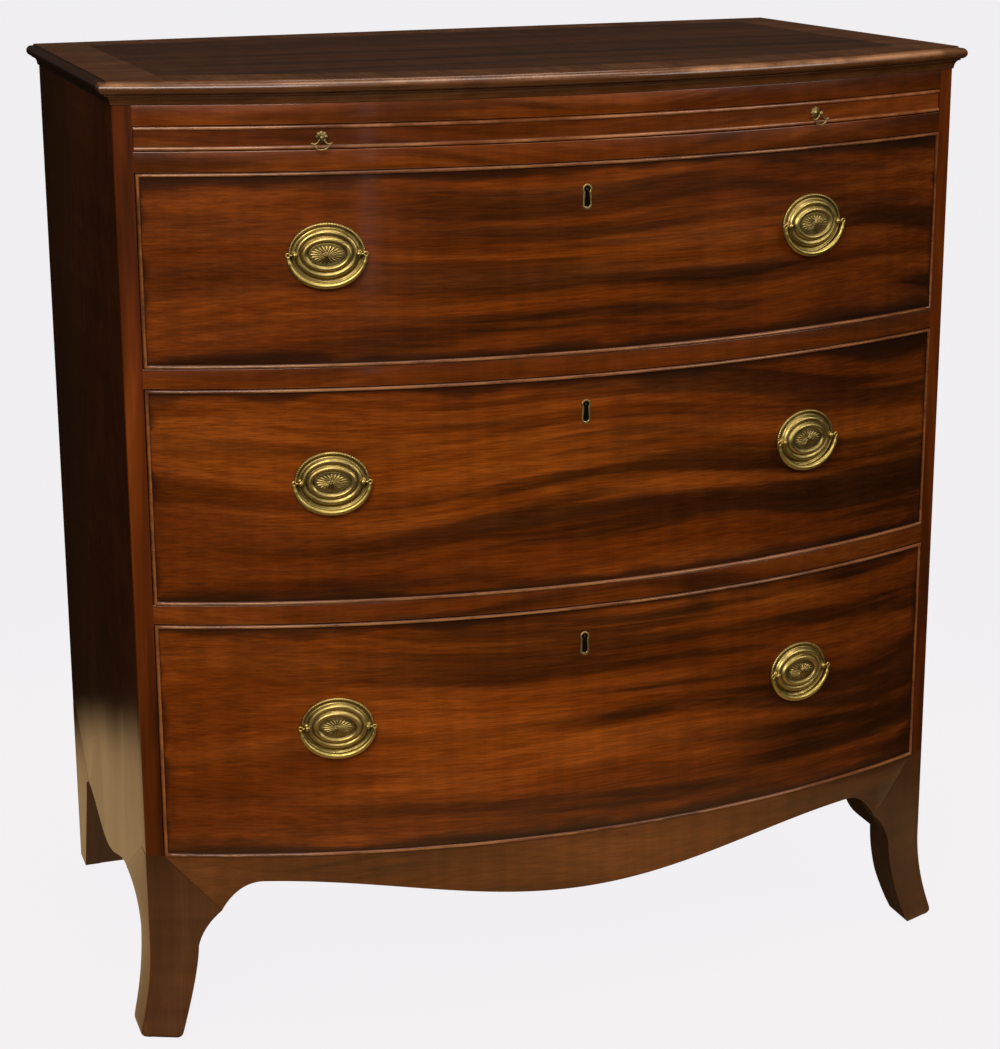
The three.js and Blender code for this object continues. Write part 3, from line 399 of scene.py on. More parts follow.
# Wood colours: the dark streak, then from the deep to the bright tone
MAHOGANY = [
    (0.012, 0.0034, 0.0003), (0.060, 0.0104, 0.0004), (0.108, 0.0205, 0.0008), (0.195, 0.0425, 0.0026),
]
RAIL = [(0.018, 0.0048, 0.0006), (0.065, 0.0128, 0.0010), (0.112, 0.0225, 0.0018), (0.185, 0.0430, 0.0045)]
SIDE = [(0.010, 0.0022, 0.0005), (0.019, 0.0038, 0.0007), (0.030, 0.0058, 0.0009), (0.050, 0.0100, 0.0015)]
STILE = [(0.022, 0.0056, 0.0008), (0.060, 0.0112, 0.0008), (0.100, 0.0190, 0.0014), (0.155, 0.0330, 0.0032)]
SLIDE = [(0.016, 0.0042, 0.0005), (0.055, 0.0108, 0.0008), (0.095, 0.0190, 0.0015), (0.158, 0.0366, 0.0038)]
TOP = [(0.009, 0.0030, 0.0008), (0.021, 0.0061, 0.0011), (0.035, 0.0104, 0.0020), (0.054, 0.0165, 0.0035)]
BAND = [(0.019, 0.0064, 0.0018), (0.043, 0.0138, 0.0036), (0.067, 0.0228, 0.0064), (0.096, 0.0340, 0.0105)]
FOOT = [(0.018, 0.0056, 0.0012), (0.038, 0.0115, 0.0022), (0.058, 0.0185, 0.0040), (0.084, 0.0285, 0.0068)]
# The feet's colours at 0.38, as painted shade for the inner and under faces
FOOT_INSIDE_SHADED = [tuple(0.38 * part for part in colour) for colour in FOOT]
APRON = [(0.022, 0.0066, 0.0010), (0.060, 0.0165, 0.0020), (0.088, 0.0255, 0.0036), (0.125, 0.0380, 0.0065)]
BEAD = [(0.015, 0.0050, 0.0018), (0.060, 0.0170, 0.0050), (0.110, 0.0340, 0.0110), (0.190, 0.0650, 0.0240)]
OAK = [(0.12, 0.065, 0.027), (0.22, 0.130, 0.058), (0.33, 0.210, 0.102), (0.44, 0.300, 0.160)]
PINE = [(0.13, 0.060, 0.022), (0.26, 0.140, 0.060), (0.36, 0.215, 0.100), (0.46, 0.295, 0.150)]

# Colours of dirt and wear, and of the painted shade and painted highlights laid with them
# Near-black brown: dirt in the back's joints, and painted shade along the cockbeads and the moulding's sides
GRIME_AND_SHADE = (0.010, 0.0036, 0.0012)
# Near-black painted shade for the face that closes each keyhole's slot
KEYHOLE_SHADE = (0.004, 0.0024, 0.0014)
# Brown tarnish that also serves as painted shade in the brasses' hollows
BRASS_DIRT_AND_SHADE = (0.055, 0.032, 0.010)
# Worn pale colours that also serve as painted highlights on the crests and arrises
WORN_BEAD_HIGHLIGHT = (0.275, 0.118, 0.034)
WORN_UPRIGHT_BEAD_HIGHLIGHT = (0.215, 0.070, 0.015)
WORN_MOULD_HIGHLIGHT = (0.34, 0.165, 0.080)
WORN_RAIL_HIGHLIGHT = (0.30, 0.115, 0.036)
WORN_SLIDE_HIGHLIGHT = (0.40, 0.170, 0.070)

# Where the finishes change, in metres from the middle
UPRIGHT_BEADS = (0.4115, 0.4125)
APRON_ENDS = (0.20, 0.40)


def drawer_veneer(level, low, high):
    """Flame figured front, with painted shade and grime in an uneven band along the cockbeads."""
    def stronger_right(finish):
        return finish.between(finish.coordinate("X"), -0.34, -0.06, 0.35, 1.0)

    seed, streaks = DRAWERS[level]
    finish = wood(f"veneer_{level}", "x", MAHOGANY, seed, streaks, (2.6, 34.0), fibre=0.26, mottle=0.08,
                  streak_mask=stronger_right, stripe=(0.42, 0.60), scatter=0.7)
    # Painted shade, deepening to the right
    shade_to_right(finish, -0.05, 0.38, 0.66)
    from_middle = finish.math("ABSOLUTE", finish.less(finish.coordinate("Z"), (high.z + low.z) / 2))
    from_level = finish.less((high.z - low.z) / 2, from_middle)
    from_side = finish.less(high.x, finish.math("ABSOLUTE", finish.coordinate("X")))
    edge = finish.math("MINIMUM", finish.times(from_side, 2.2), from_level)
    wander = finish.noise(finish.place(), (9, 2, 30), detail=3.0)
    reach = finish.math("ADD", finish.times(finish.between(wander, 0.35, 0.75), 0.030), 0.005)
    soft = finish.math("DIVIDE", finish.less(edge, BEAD_WIDTH), reach)
    # Painted shade with grime: near-black at the cockbeads, fading out over 5 to 35 mm
    finish.cover(finish.between(soft, 0.0, 1.0, 0.8, 0.0), GRIME_AND_SHADE)
    return finish


def bead_finish():
    """Cockbead: painted shade and grime at its foot, worn pale with a painted highlight along its crest."""
    finish = wood("cockbead", "x", BEAD, 2.2, 0.5, (9.0, 60.0))
    out = finish.radius_out()
    patches = finish.noise(finish.place(), (14, 14, 14), detail=4.0, roughness=0.65)
    x = finish.coordinate("X")
    crest = finish.between(out, 1.9 * MM, 2.5 * MM)
    # Painted shade: the crest's highlight dims to the right
    shaded_right = finish.between(x, -0.1, 0.40, 0.85, 0.50)
    # Upright beads take a deeper orange, catching less of the painted highlight
    upright = finish.between(finish.math("ABSOLUTE", x), *UPRIGHT_BEADS)
    pale = finish.blend(upright, WORN_BEAD_HIGHLIGHT, WORN_UPRIGHT_BEAD_HIGHLIGHT)
    # Wear and painted highlight along the crest, in patches
    worn = finish.times(crest, finish.times(finish.between(patches, 0.40, 0.60), shaded_right))
    finish.cover(worn, pale)
    # Painted shade and grime where the bead meets the front
    finish.cover(finish.between(out, 0.0, 1.2 * MM, 0.9, 0.0), GRIME_AND_SHADE)
    return finish


def side_finish():
    """Side boards: dark, upright grain, with a warm worn front arris."""
    finish = wood("mahogany_side", "z", SIDE, 4.4, 0.5, (1.6, 26.0), coat=0.6)
    front = finish.between(finish.radius_out(), -6 * MM, -0.4 * MM)
    stile = wood_tone(finish, "z", STILE, 8.1)
    dimmer = finish.grey(finish.between(finish.coordinate("Z"), 0.15, 0.50, 0.60, 1.0))
    finish.cover(front, finish.blend(1.0, stile, dimmer, "MULTIPLY"))
    return finish


def foot_finish():
    """Front feet: plain upright grain, dark behind the face like the sides above."""
    finish = wood("mahogany_foot", "z", FOOT, 6.3, 0.4, (4.0, 16.0), 0.36, 0.35, fibre=0.07, mottle=0.12)
    behind = finish.between(finish.radius_out(), -4 * MM, -1 * MM, 1.0, 0.0)
    high = finish.between(finish.coordinate("Z"), 0.02, 0.15, 0.45, 0.95)
    finish.cover(finish.times(behind, high), wood_tone(finish, "z", SIDE, 4.4))
    # Painted shade, deepening to the right
    return shade_to_right(finish, -0.3, 0.3, 0.62)


def foot_inner_shaded_finish():
    """The unpolished inner faces of the front feet, darkened as painted shade."""
    finish = wood("foot_inside_shaded", "z", FOOT_INSIDE_SHADED, 6.3, 0.3, (4.0, 16.0), rough=0.75, coat=0.0)
    finish.surface(specular_ior_level=0.08)
    return finish


def apron_finish():
    """Apron: warm in the middle and to the left, plain and dark like the feet at its right end."""
    finish = wood("mahogany_apron", "x", APRON, 2.9, 0.6, (4.0, 44.0), 0.34, 0.35)
    ends = finish.between(finish.coordinate("X"), *APRON_ENDS, 0.0, 0.9)
    finish.cover(ends, wood_tone(finish, "x", FOOT, 6.3))
    # Painted shade, deepening to the right
    return shade_to_right(finish, 0.05, 0.38, 0.70)


def mould_finish():
    """The top's moulding: worn bright with a painted highlight along the front, with painted shade along the
    sides.
    """
    finish = worn_highlit_edges(wood("mahogany_mould", "x", BAND, 7.1, 0.5, (6.0, 60.0)), WORN_MOULD_HIGHLIGHT)
    # Painted shade on the moulding's sides, behind the bow
    finish.cover(finish.between(finish.radius_out(), -9 * MM, -2 * MM, 0.85, 0.0), GRIME_AND_SHADE)
    return finish


def rail_finish():
    # Worn pale arrises with a painted highlight, and painted shade deepening to the right
    finish = worn_highlit_edges(wood("mahogany_rail", "x", RAIL, 1.3, 0.7, (5.0, 50.0)), WORN_RAIL_HIGHLIGHT, 0.7)
    return shade_to_right(finish, 0.0, 0.40, 0.55)


def slide_finish():
    # Worn pale bead crests with a painted highlight
    return worn_highlit_edges(wood("mahogany_slide", "x", SLIDE, 9.3, 0.6, (4.0, 60.0), rough=0.28), WORN_SLIDE_HIGHLIGHT)


def top_finish(name, grain, colours, seed, streaks, scale):
    """The duller polish of the top's face and its crossband."""
    return wood(name, grain, colours, seed, streaks, scale, rough=0.36, coat=0.18, thin=False)


def back_finish():
    """Upright pine boards with dirt in the joints between them."""
    finish = plain_wood("pine_upright", "z", PINE, 4.1, (2.5, 60.0))
    depth = finish.less(BACK_HIGH.y, finish.coordinate("Y"))
    groove = finish.times(finish.between(depth, 0.1 * MM, 0.7 * MM),
                          finish.between(depth, 3 * MM, 4 * MM, 1.0, 0.0))
    finish.cover(groove, GRIME_AND_SHADE)
    return finish


def keyhole_shade_finish():
    # Painted shade for the face inside the keyhole's slot
    finish = Finish("keyhole_shade")
    finish.surface(base_color=KEYHOLE_SHADE, roughness=0.95, specular_ior_level=0.0)
    return finish


def brass_finish(name, bright, dull, rough):
    """Aged brass: polished where hands reach, brown in the hollows with tarnish and painted shade."""
    finish = Finish(name)
    stain = finish.noise(finish.place(), (90, 90, 90), detail=5.0, roughness=0.65)
    speck = finish.noise(finish.place(), (600, 600, 600), detail=3.0)
    tarnish_and_shade = finish.add("Attribute", attribute_name="tarnish_and_shade").outputs["Fac"]
    colour = finish.blend(finish.between(stain, 0.35, 0.7, 0.0, 0.55), bright, dull)
    # Tarnish with painted shade where the attribute marks hollows
    finish.surface(base_color=finish.blend(tarnish_and_shade, colour, BRASS_DIRT_AND_SHADE), metallic=1.0,
                   roughness=finish.between(stain, 0.3, 0.75, rough * 0.8, rough * 1.5))
    finish.bump(speck, 0.12, 0.0002)
    return finish


finishes = {key: finish.material for key, finish in {
    "rail": rail_finish(),
    "slide": slide_finish(),
    "apron": apron_finish(),
    "top": top_finish("mahogany_top", "x", TOP, 0.6, 0.6, (1.6, 22.0)),
    "band_x": top_finish("crossband_sides", "x", BAND, 5.5, 0.4, (6.0, 60.0)),
    "band_y": top_finish("crossband_front", "y", BAND, 3.5, 0.4, (6.0, 60.0)),
    "mould": mould_finish(),
    "side": side_finish(),
    "foot": foot_finish(),
    "foot_inside_shaded": foot_inner_shaded_finish(),
    "keyhole": keyhole_shade_finish(),
    "bead": bead_finish(),
    "oak_x": plain_wood("oak_across", "x", OAK, 1.1, (3.0, 90.0)),
    "oak_y": plain_wood("oak_deep", "y", OAK, 2.1, (3.0, 90.0)),
    "pine_x": plain_wood("pine_across", "x", PINE, 3.1, (2.5, 60.0)),
    "pine_z": back_finish(),
    "brass": brass_finish("brass", (0.47, 0.345, 0.112), (0.30, 0.20, 0.058), 0.40),
    "brass_bail": brass_finish("brass_bail", (0.52, 0.392, 0.112), (0.35, 0.248, 0.064), 0.42),
    "brass_dark": brass_finish("brass_dark", (0.36, 0.26, 0.10), (0.16, 0.11, 0.04), 0.45),
    "lock": brass_finish("brass_lock", (0.55, 0.40, 0.17), (0.28, 0.19, 0.08), 0.42),
}.items()}


def keep(node, finish):
    """A CAD node that stays, with its finish."""
    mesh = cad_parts[node].data
    mesh.materials.clear()
    mesh.materials.append(finishes[finish])


# Moulded top: out from the carcass and down from the top face, in millimetres
TOP_FILLET = [(4.3, 0.0), (4.3, 1.2), (5.0, 1.8), (7.1, 1.8)]
TOP_NOSE = 5.5
TOP_NOSE_AT = (7.1, 7.3)
TOP_NOSE_START = 0.12
TOP_QUIRK = [(6.65, 12.8), (6.65, 14.4)]
TOP_CAVETTO = (6.6, 1.0, 14.4, 23.0)
# Worn pale band with a painted highlight on the nose: its depth and spread in millimetres below the face,
# then its share at the front corners, falling to none at the back along the sides
TOP_WEAR_HIGHLIGHT_AT = 3.6
TOP_WEAR_HIGHLIGHT_WIDTH = 2.2
TOP_CORNER_WEAR_HIGHLIGHT = 0.2
TOP_COLUMNS = 64
BAND_WIDTH = 54 * MM

# The material slots of the top
TOP_FACE, BAND_SIDES, BAND_FRONT, MOULD = range(4)


def top_profile():
    """The moulded edge: out from the carcass and down from the face, in metres."""
    out_at, down_at = TOP_NOSE_AT
    nose = [
        (out_at + TOP_NOSE * sin(a), down_at - TOP_NOSE * cos(a))
        for a in spread(TOP_NOSE_START, pi, 12)
    ]
    start, end, high, low = TOP_CAVETTO
    cavetto = [
        (start - (start - end) * sin(a), low - (low - high) * cos(a))
        for a in spread(0, pi / 2, 6)
    ]
    return [(out * MM, down * MM) for out, down in [*TOP_FILLET, *nose, *TOP_QUIRK, *cavetto]]


def slab_ring(out, z, back):
    """The outline of the top at one level, from its front left corner round to the back."""
    edge = HALF + out
    front = [(x, bow_y(x, out), z) for x in spread(-edge, edge, TOP_COLUMNS)]
    return [*front, (edge, back, z), (-edge, back, z)]


def build_top():
    """The moulded top, with a crossbanded border round its face."""
    skin = Skin()
    face, back = TOP_HIGH.z, TOP_HIGH.y
    profile = top_profile()
    rings = [slab_ring(out, face - down, back) for out, down in profile]
    skin.loft(rings, ends=False, slot=MOULD)
    count = len(rings[0])
    inner = len(skin.points)
    skin.face(range(inner - count, inner), TOP_FACE)
    border = slab_ring(profile[0][0] - BAND_WIDTH, face, back - BAND_WIDTH)
    skin.points.extend(Vector(point) for point in border)
    for i, slot in enumerate([*[BAND_FRONT] * TOP_COLUMNS, BAND_SIDES, BAND_FRONT, BAND_SIDES]):
        j = (i + 1) % count
        skin.face((i, inner + i, inner + j, j), slot)
    skin.face(range(inner + count - 1, inner - 1, -1), TOP_FACE)
    piece = skin.make("moulded_top", ["top", "band_x", "band_y", "mould"], "carcass", ["top"])
    # Wear and painted highlight on the nose's upper half, full along the front, faint on the sides
    worn = [exp(-((down / MM - TOP_WEAR_HIGHLIGHT_AT) / TOP_WEAR_HIGHLIGHT_WIDTH) ** 2) for _, down in profile]
    along = [TOP_CORNER_WEAR_HIGHLIGHT, *[1.0] * (TOP_COLUMNS - 1), TOP_CORNER_WEAR_HIGHLIGHT, 0.0, 0.0]
    paint(piece, "wear_highlight", [value * share for value in worn for share in along])


# Side boards with eased arrises and a shaped lower edge, in millimetres
SIDE_APEX = (127.0, 133.0)
SIDE_SEAM = (24.0, BASE)
REAR_APEX_REACH = 94.0
REAR_SEAM_REACH = 24.0
SIDE_DROP = 26.0
SIDE_ARRIS = 1.3
SEAM_GAP = 0.08


def side_outline():
    """Distance behind the corner, None on the bow, and height of each point."""
    depth = CORNER_DEPTH / MM
    rear_apex = depth - REAR_APEX_REACH
    middle = (SIDE_APEX[0] + rear_apex) / 2
    half = middle - SIDE_APEX[0]
    wave = [
        (middle + s, SIDE_APEX[1] - SIDE_DROP / 2 * (1 + cos(pi * s / half)))
        for s in spread(-half, half, 40)
    ]
    base, apex = BASE + SEAM_GAP, SIDE_APEX[1] + SEAM_GAP
    return [
        (None, base), (SIDE_SEAM[0], base), (SIDE_APEX[0], apex), *wave[1:-1], (rear_apex, apex),
        (depth - REAR_SEAM_REACH, base), (depth, base), (depth, CARCASS_TOP), (None, CARCASS_TOP),
    ]


def ease_outer_edges(piece, width):
    """Rounds the edges that lie in the outer faces of the carcass."""
    work = bmesh.new()
    work.from_mesh(piece.data)
    edges = [e for e in work.edges if min(abs(v.co.x) for v in e.verts) > HALF - MM]
    bmesh.ops.bevel(
        work, geom=edges, offset=width, offset_type="OFFSET", segments=3, profile=0.5,
        affect="EDGES", clamp_overlap=True,
    )
    work.to_mesh(piece.data)
    work.free()
    smooth(piece.data, 35)


def build_sides():
    for hand, sign in HANDS.items():
        skin = Skin()
        skin.loft([
            [(sign * x, bow_y(x) if y is None else CORNER_Y + y * MM, z * MM) for y, z in side_outline()]
            for x in (INSIDE, HALF)
        ])
        piece = skin.make(f"side_board_{hand}", ["side"], "carcass", [f"side_{hand}"])
        ease_outer_edges(piece, SIDE_ARRIS * MM)


# Facings over the rails, in metres
FACING = 1.4 * MM
ARRIS = 0.9 * MM
RAIL_HEIGHT = 20 * MM


def build_facing(node, height=None):
    """A thin polished face over a bowed rail, its arrises eased, worn pale and painted with a highlight."""
    low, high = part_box(node)
    top = low.z + height if height else high.z
    lower = eased_corner(low.z, ARRIS)
    section = [(-FACING, low.z), *lower, *mirrored(lower, low.z, top), (-FACING, top)]
    section = [(out + PROUD, z) for out, z in section]
    columns = spread(low.x, high.x, BOW_COLUMNS)
    skin = Skin()
    skin.loft([[(x, bow_y(x, out), z) for out, z in section] for x in columns])
    piece = skin.make(f"{node}_facing", ["rail"], "carcass")
    # Wear and painted highlight on the eased arrises
    worn = [1.0 if 0 < min(z - low.z, top - z) < ARRIS * 0.9 else 0.0 for _, z in section]
    paint(piece, "wear_highlight", worn * len(columns))


def build_rails():
    for node in ("drawer_rail_lower", "drawer_rail_upper"):
        build_facing(node, RAIL_HEIGHT)
        keep(node, "rail")
    build_facing("slide_frame")
    build_facing("top_rail")
    for node, finish in (
        ("slide_frame", "rail"), ("top_rail", "rail"), ("dust_board_upper", "pine_x"),
        ("dust_board_lower", "pine_x"), ("bottom_board", "pine_x"), ("back", "pine_z"),
        ("foot_rear_left", "side"), ("foot_rear_right", "side"),
    ):
        keep(node, finish)


# The slide's two beads, in metres
SLIDE_BEAD = 2.2 * MM
SLIDE_RECESS = 1.8 * MM


def build_slide():
    """The brushing slide, with a bead along both edges of its front."""
    low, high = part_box("brushing_slide")
    lower = [
        (max(SLIDE_BEAD * (sin(a) - 1), -SLIDE_RECESS), low.z + SLIDE_BEAD * (1 - cos(a)))
        for a in spread(0, pi, 10)
    ]
    section = [*lower, *mirrored(lower, low.z, high.z)]
    rings = []
    for out, z in section:
        front = [(x, bow_y(x, out + PROUD), z) for x in spread(low.x, high.x, BOW_COLUMNS)]
        rings.append([*front, (high.x, high.y, z), (low.x, high.y, z)])
    skin = Skin()
    skin.loft(rings)
    piece = skin.make("slide_board", ["slide"], "slide", ["brushing_slide"])
    # Wear and painted highlight along the crests of both beads
    crests = [max(0.0, 1 + out / (0.5 * SLIDE_RECESS)) for out, _ in section]
    paint(piece, "wear_highlight", [crest for crest in crests for _ in rings[0]])


# Apron and feet, in millimetres in from the carcass corner and up from the floor
APRON_WAIST = 172.0
APRON_DROP = 33.6
APRON_ARRIS = 0.8
APRON_LEAST = 0.4
UNDER_AREA = 8 * MM**2
SHOULDER = (115.0, 89.0)
CUSP = (72.0, 140.0)
CORNER_SEAM = (17.5, BASE)
FRONT_NECK = (48.0, 100.0)
FRONT_GROUND = 24.0
CUSP_CONTROL = (53.0, 122.0)
SIDE_NECK = (49.0, 100.0)
SIDE_GROUND = 30.0
SIDE_CONTROL = 62.0
SWEEP_SHARE = 1.5
SPLAY = 16.5
SPLAY_HEIGHT = 100.0
TOE = 7.5
TOE_SIDE = 13.0
TOE_ROUND = 5.0
CORNER_ROUND = 2.6
WING = 20.0
SIDE_THICK = (HALF - INSIDE) / MM
BLOCK = 40.0
BLOCK_TOP = BASE - 12.3
BLOCK_INSET = 0.5
GLUE_REACH = 118.0
GLUE_FLOOR = 97.0
GLUE_BEND = 75.0
GLUE_RISE = 51.0

FRONT_CURL = quadratic(FRONT_NECK, CUSP_CONTROL, CUSP, 40)
SIDE_CURL = quadratic(SIDE_NECK, (SIDE_CONTROL, SIDE_APEX[1]), SIDE_APEX, 40)
SHOULDER_CURVE = quadratic((SHOULDER[0], APRON_WAIST), (SHOULDER[1], APRON_WAIST), CUSP, 60)


def curve_at(points, z):
    """How far in a rising curve lies at a height."""
    for (xa, za), (xb, zb) in zip(points, points[1:]):
        if za <= z <= zb:
            return mix(xa, xb, (z - za) / max(zb - za, 1e-9))
    return points[-1][0]


def toe_inset(z, radius=TOE):
    """How far the foot's lowest edges draw in where they are rounded."""
    return radius - sqrt(radius * radius - max(0.0, radius - z) ** 2)


def reach_at(z, neck, ground, curl, seam, toe):
    """How far the foot reaches from the corner at a height: its stem, its curl, then its seam."""
    if z <= neck[1]:
        fall = (1 - z / neck[1]) ** SWEEP_SHARE
        return neck[0] - (neck[0] - ground) * fall - toe_inset(z, toe)
    tip = curl[-1]
    if z <= tip[1]:
        return curve_at(curl, z)
    return mix(tip[0], seam[0], (z - tip[1]) / (seam[1] - tip[1]))


def front_reach(z):
    return reach_at(z, FRONT_NECK, FRONT_GROUND, FRONT_CURL, CORNER_SEAM, TOE)


def side_reach(z):
    return reach_at(z, SIDE_NECK, SIDE_GROUND, SIDE_CURL, SIDE_SEAM, TOE_SIDE)


def splay_at(z):
    return SPLAY * max(0.0, 1 - z / SPLAY_HEIGHT) ** 2 - toe_inset(z)


def foot_levels():
    """Heights of the foot's rings, closer where its outline bends."""
    levels = [TOE * (1 - cos(a)) for a in spread(0, pi / 2, 5)]
    levels += spread(TOE, SIDE_NECK[1], 16)[1:] + [FRONT_NECK[1]]
    levels += [z for _, z in SIDE_CURL[4:] + FRONT_CURL[4:]]
    levels += spread(CUSP[1], BLOCK_TOP, 5)[1:] + [BASE]
    return sorted(set(round(z, 3) for z in levels))


def foot_ring(z):
    """Right front foot at one level: face, rounded corner, side, then the inner block."""
    def on_bow(x, off):
        return bow_y(x * MM, off * MM) / MM

    out = splay_at(z)
    edge = HALF_MM + out
    inner = HALF_MM - front_reach(z)
    corner = CORNER_ROUND + TOE_ROUND * max(0.0, 1 - z / TOE_SIDE) ** 2
    face = [(x, on_bow(x, out)) for x in spread(inner, edge - corner, 6)]
    corner_y = face[-1][1]
    turn = [
        (edge - corner + corner * sin(a), corner_y + corner * (1 - cos(a)))
        for a in spread(pi / 8, pi / 2, 3)
    ]
    reach = CORNER_Y / MM + side_reach(z)
    board = edge - SIDE_THICK
    wing_back = out - WING
    block_x = edge - min(BLOCK, front_reach(z) + out)
    deep = CORNER_Y / MM + min(BLOCK, side_reach(z) - 1) - out
    if z > BLOCK_TOP:
        block_x = board - BLOCK_INSET
        deep = on_bow(board, wing_back) + BLOCK_INSET
    return [
        *face, *turn, (edge, reach), (board, reach), (board, deep), (block_x, deep),
        (block_x, on_bow(block_x, wing_back)), (inner, on_bow(inner, wing_back)),
    ]


def glue_block(skin, sign):
    """The block glued behind the side wing, its lower end sawn to a curve."""
    floor = (GLUE_REACH, GLUE_FLOOR)
    bend = quadratic((GLUE_BEND, GLUE_FLOOR), floor, (GLUE_REACH, GLUE_FLOOR + GLUE_RISE), 10)
    outline = [(BLOCK / 2, GLUE_FLOOR), *bend, (GLUE_REACH, BLOCK_TOP), (BLOCK / 2, BLOCK_TOP)]
    skin.loft([
        [(sign * x, CORNER_Y + y * MM, z * MM) for y, z in outline]
        for x in (HALF - (BLOCK - 1) * MM, INSIDE - 0.05 * MM)
    ])


def build_front_feet():
    """Splayed bracket feet: polished face, darker side, and bare inner and lower faces in painted shade."""
    polished, aside, bare = range(3)
    for hand, sign in HANDS.items():
        skin = Skin()
        skin.loft([[(sign * x * MM, y * MM, z * MM) for x, y in foot_ring(z)] for z in foot_levels()])
        glue_block(skin, sign)
        foot = skin.make(f"bracket_foot_{hand}", ["foot", "side", "foot_inside_shaded"], "carcass",
                         [f"foot_front_{hand}"], sharp=28.0)
        for face in foot.data.polygons:
            outwards = face.normal.x * sign
            hidden = outwards < -0.35 or face.normal.y > 0.35 or face.normal.z < -0.5
            # Inner, rear and lower faces take the bare finish darkened as painted shade
            face.material_index = aside if outwards > 0.7 else bare if hidden else polished


def apron_floor(reach):
    """Height of the apron's lower edge at a distance in from the carcass corner."""
    start = HALF_MM - SHOULDER[0]
    x = HALF_MM - reach
    if x <= start:
        return APRON_WAIST - APRON_DROP / 2 * (1 + cos(pi * x / start))
    for (ra, za), (rb, zb) in zip(SHOULDER_CURVE, SHOULDER_CURVE[1:]):
        if rb <= reach <= ra:
            return mix(za, zb, (ra - reach) / max(ra - rb, 1e-9))
    return mix(CUSP[1], CORNER_SEAM[1], (CUSP[0] - reach) / (CUSP[0] - CORNER_SEAM[0]))


def build_apron():
    """The bowed apron with its shaped lower edge, bare and in painted shade under and behind."""
    start = HALF_MM - SHOULDER[0]
    cusp = HALF_MM - CUSP[0]
    end = HALF_MM - CORNER_SEAM[0] - SEAM_GAP
    right = spread(0, start, 60)[1:] + spread(start, cusp, 30)[1:] + spread(cusp, end, 8)[1:]
    rings = []
    for x in [*[-x for x in reversed(right)], 0.0, *right]:
        floor = min(apron_floor(HALF_MM - abs(x)) + (SEAM_GAP if abs(x) > cusp else 0), BASE - APRON_LEAST)
        lift = min(APRON_ARRIS, (BASE - floor) / 3)
        section = [(-WING, floor), *eased_corner(floor, lift), (0, BASE), (-WING, BASE)]
        rings.append([(x * MM, bow_y(x * MM, out * MM), z * MM) for out, z in section])
    skin = Skin()
    skin.loft(rings)
    piece = skin.make("shaped_apron", ["apron", "foot_inside_shaded"], "carcass", ["apron"])
    for face in piece.data.polygons:
        under = face.normal.z < -0.8 or face.area > UNDER_AREA and face.normal.z < -0.4
        # Under and rear faces take the finish darkened as painted shade
        face.material_index = int(under or face.normal.y > 0.5)


# Drawer fronts, in metres, and the columns of veneer on each side of the keyhole
BEAD_PROUD = 2.5 * MM
BEAD_DEPTH = 10 * MM
BEAD_GAP = 0.1 * MM
VENEER = 0.9 * MM
VENEER_COLUMNS = 47


def build_bead(name, low, high):
    """A mitred cockbead round one drawer front."""
    r = BEAD_WIDTH / 2
    arc = [(r - r * cos(a), BEAD_PROUD - r + r * sin(a)) for a in spread(0, pi, 8)]
    section = [(0, -BEAD_DEPTH), *arc, (BEAD_WIDTH, -BEAD_DEPTH)]
    half = high.x
    shares = spread(-1, 1, BOW_COLUMNS)
    uprights = spread(low.z, high.z, 4)[1:-1]
    stations = [
        *[(share, low.z, 1) for share in shares], *[(1, z, 0) for z in uprights],
        *[(share, high.z, -1) for share in reversed(shares)], *[(-1, z, 0) for z in reversed(uprights)],
    ]
    skin = Skin()
    skin.loft([
        [(share * (half - i), bow_y(share * (half - i), o), z + inwards * i) for i, o in section]
        for share, z, inwards in stations
    ], looped=True)
    skin.make(f"{name}_bead", ["bead"], name, [f"{name}_cockbead"], sharp=50.0)


def build_veneer(name, low, high, keyhole):
    """The polished face of one drawer, bowed smoothly, open behind the keyhole rim."""
    half = high.x - BEAD_WIDTH - BEAD_GAP
    window, tall = (size * MM / 2 for size in KEY_WINDOW)
    columns = spread(-half, -window, VENEER_COLUMNS) + spread(window, half, VENEER_COLUMNS)
    levels = [low.z + BEAD_WIDTH + BEAD_GAP, keyhole - tall, keyhole + tall, high.z - BEAD_WIDTH - BEAD_GAP]
    skin = Skin()
    for out in (PROUD, PROUD - VENEER):
        skin.points.extend(Vector((x, bow_y(x, out), z)) for z in levels for x in columns)
    wide = len(columns)
    behind = len(levels) * wide
    rows = range(len(levels) - 1)
    for row in rows:
        for i in range(wide - 1):
            if row == 1 and i == VENEER_COLUMNS:
                continue
            a = row * wide + i
            skin.face((a, a + 1, a + 1 + wide, a + wide))
            skin.face((behind + a, behind + a + wide, behind + a + 1 + wide, behind + a + 1))
    last = len(rows) * wide
    rim = [(i, i + 1) for i in range(wide - 1)] + [(last + i + 1, last + i) for i in range(wide - 1)]
    rim += [((row + 1) * wide, row * wide) for row in rows]
    rim += [((row + 1) * wide - 1, (row + 2) * wide - 1) for row in rows]
    corner = wide + VENEER_COLUMNS
    hole = [corner, corner + wide, corner + wide + 1, corner + 1]
    rim += zip(hole, hole[1:] + hole[:1])
    for a, b in rim:
        skin.face((b, a, a + behind, b + behind))
    skin.make(f"{name}_veneer", [f"{name}_front"], name)


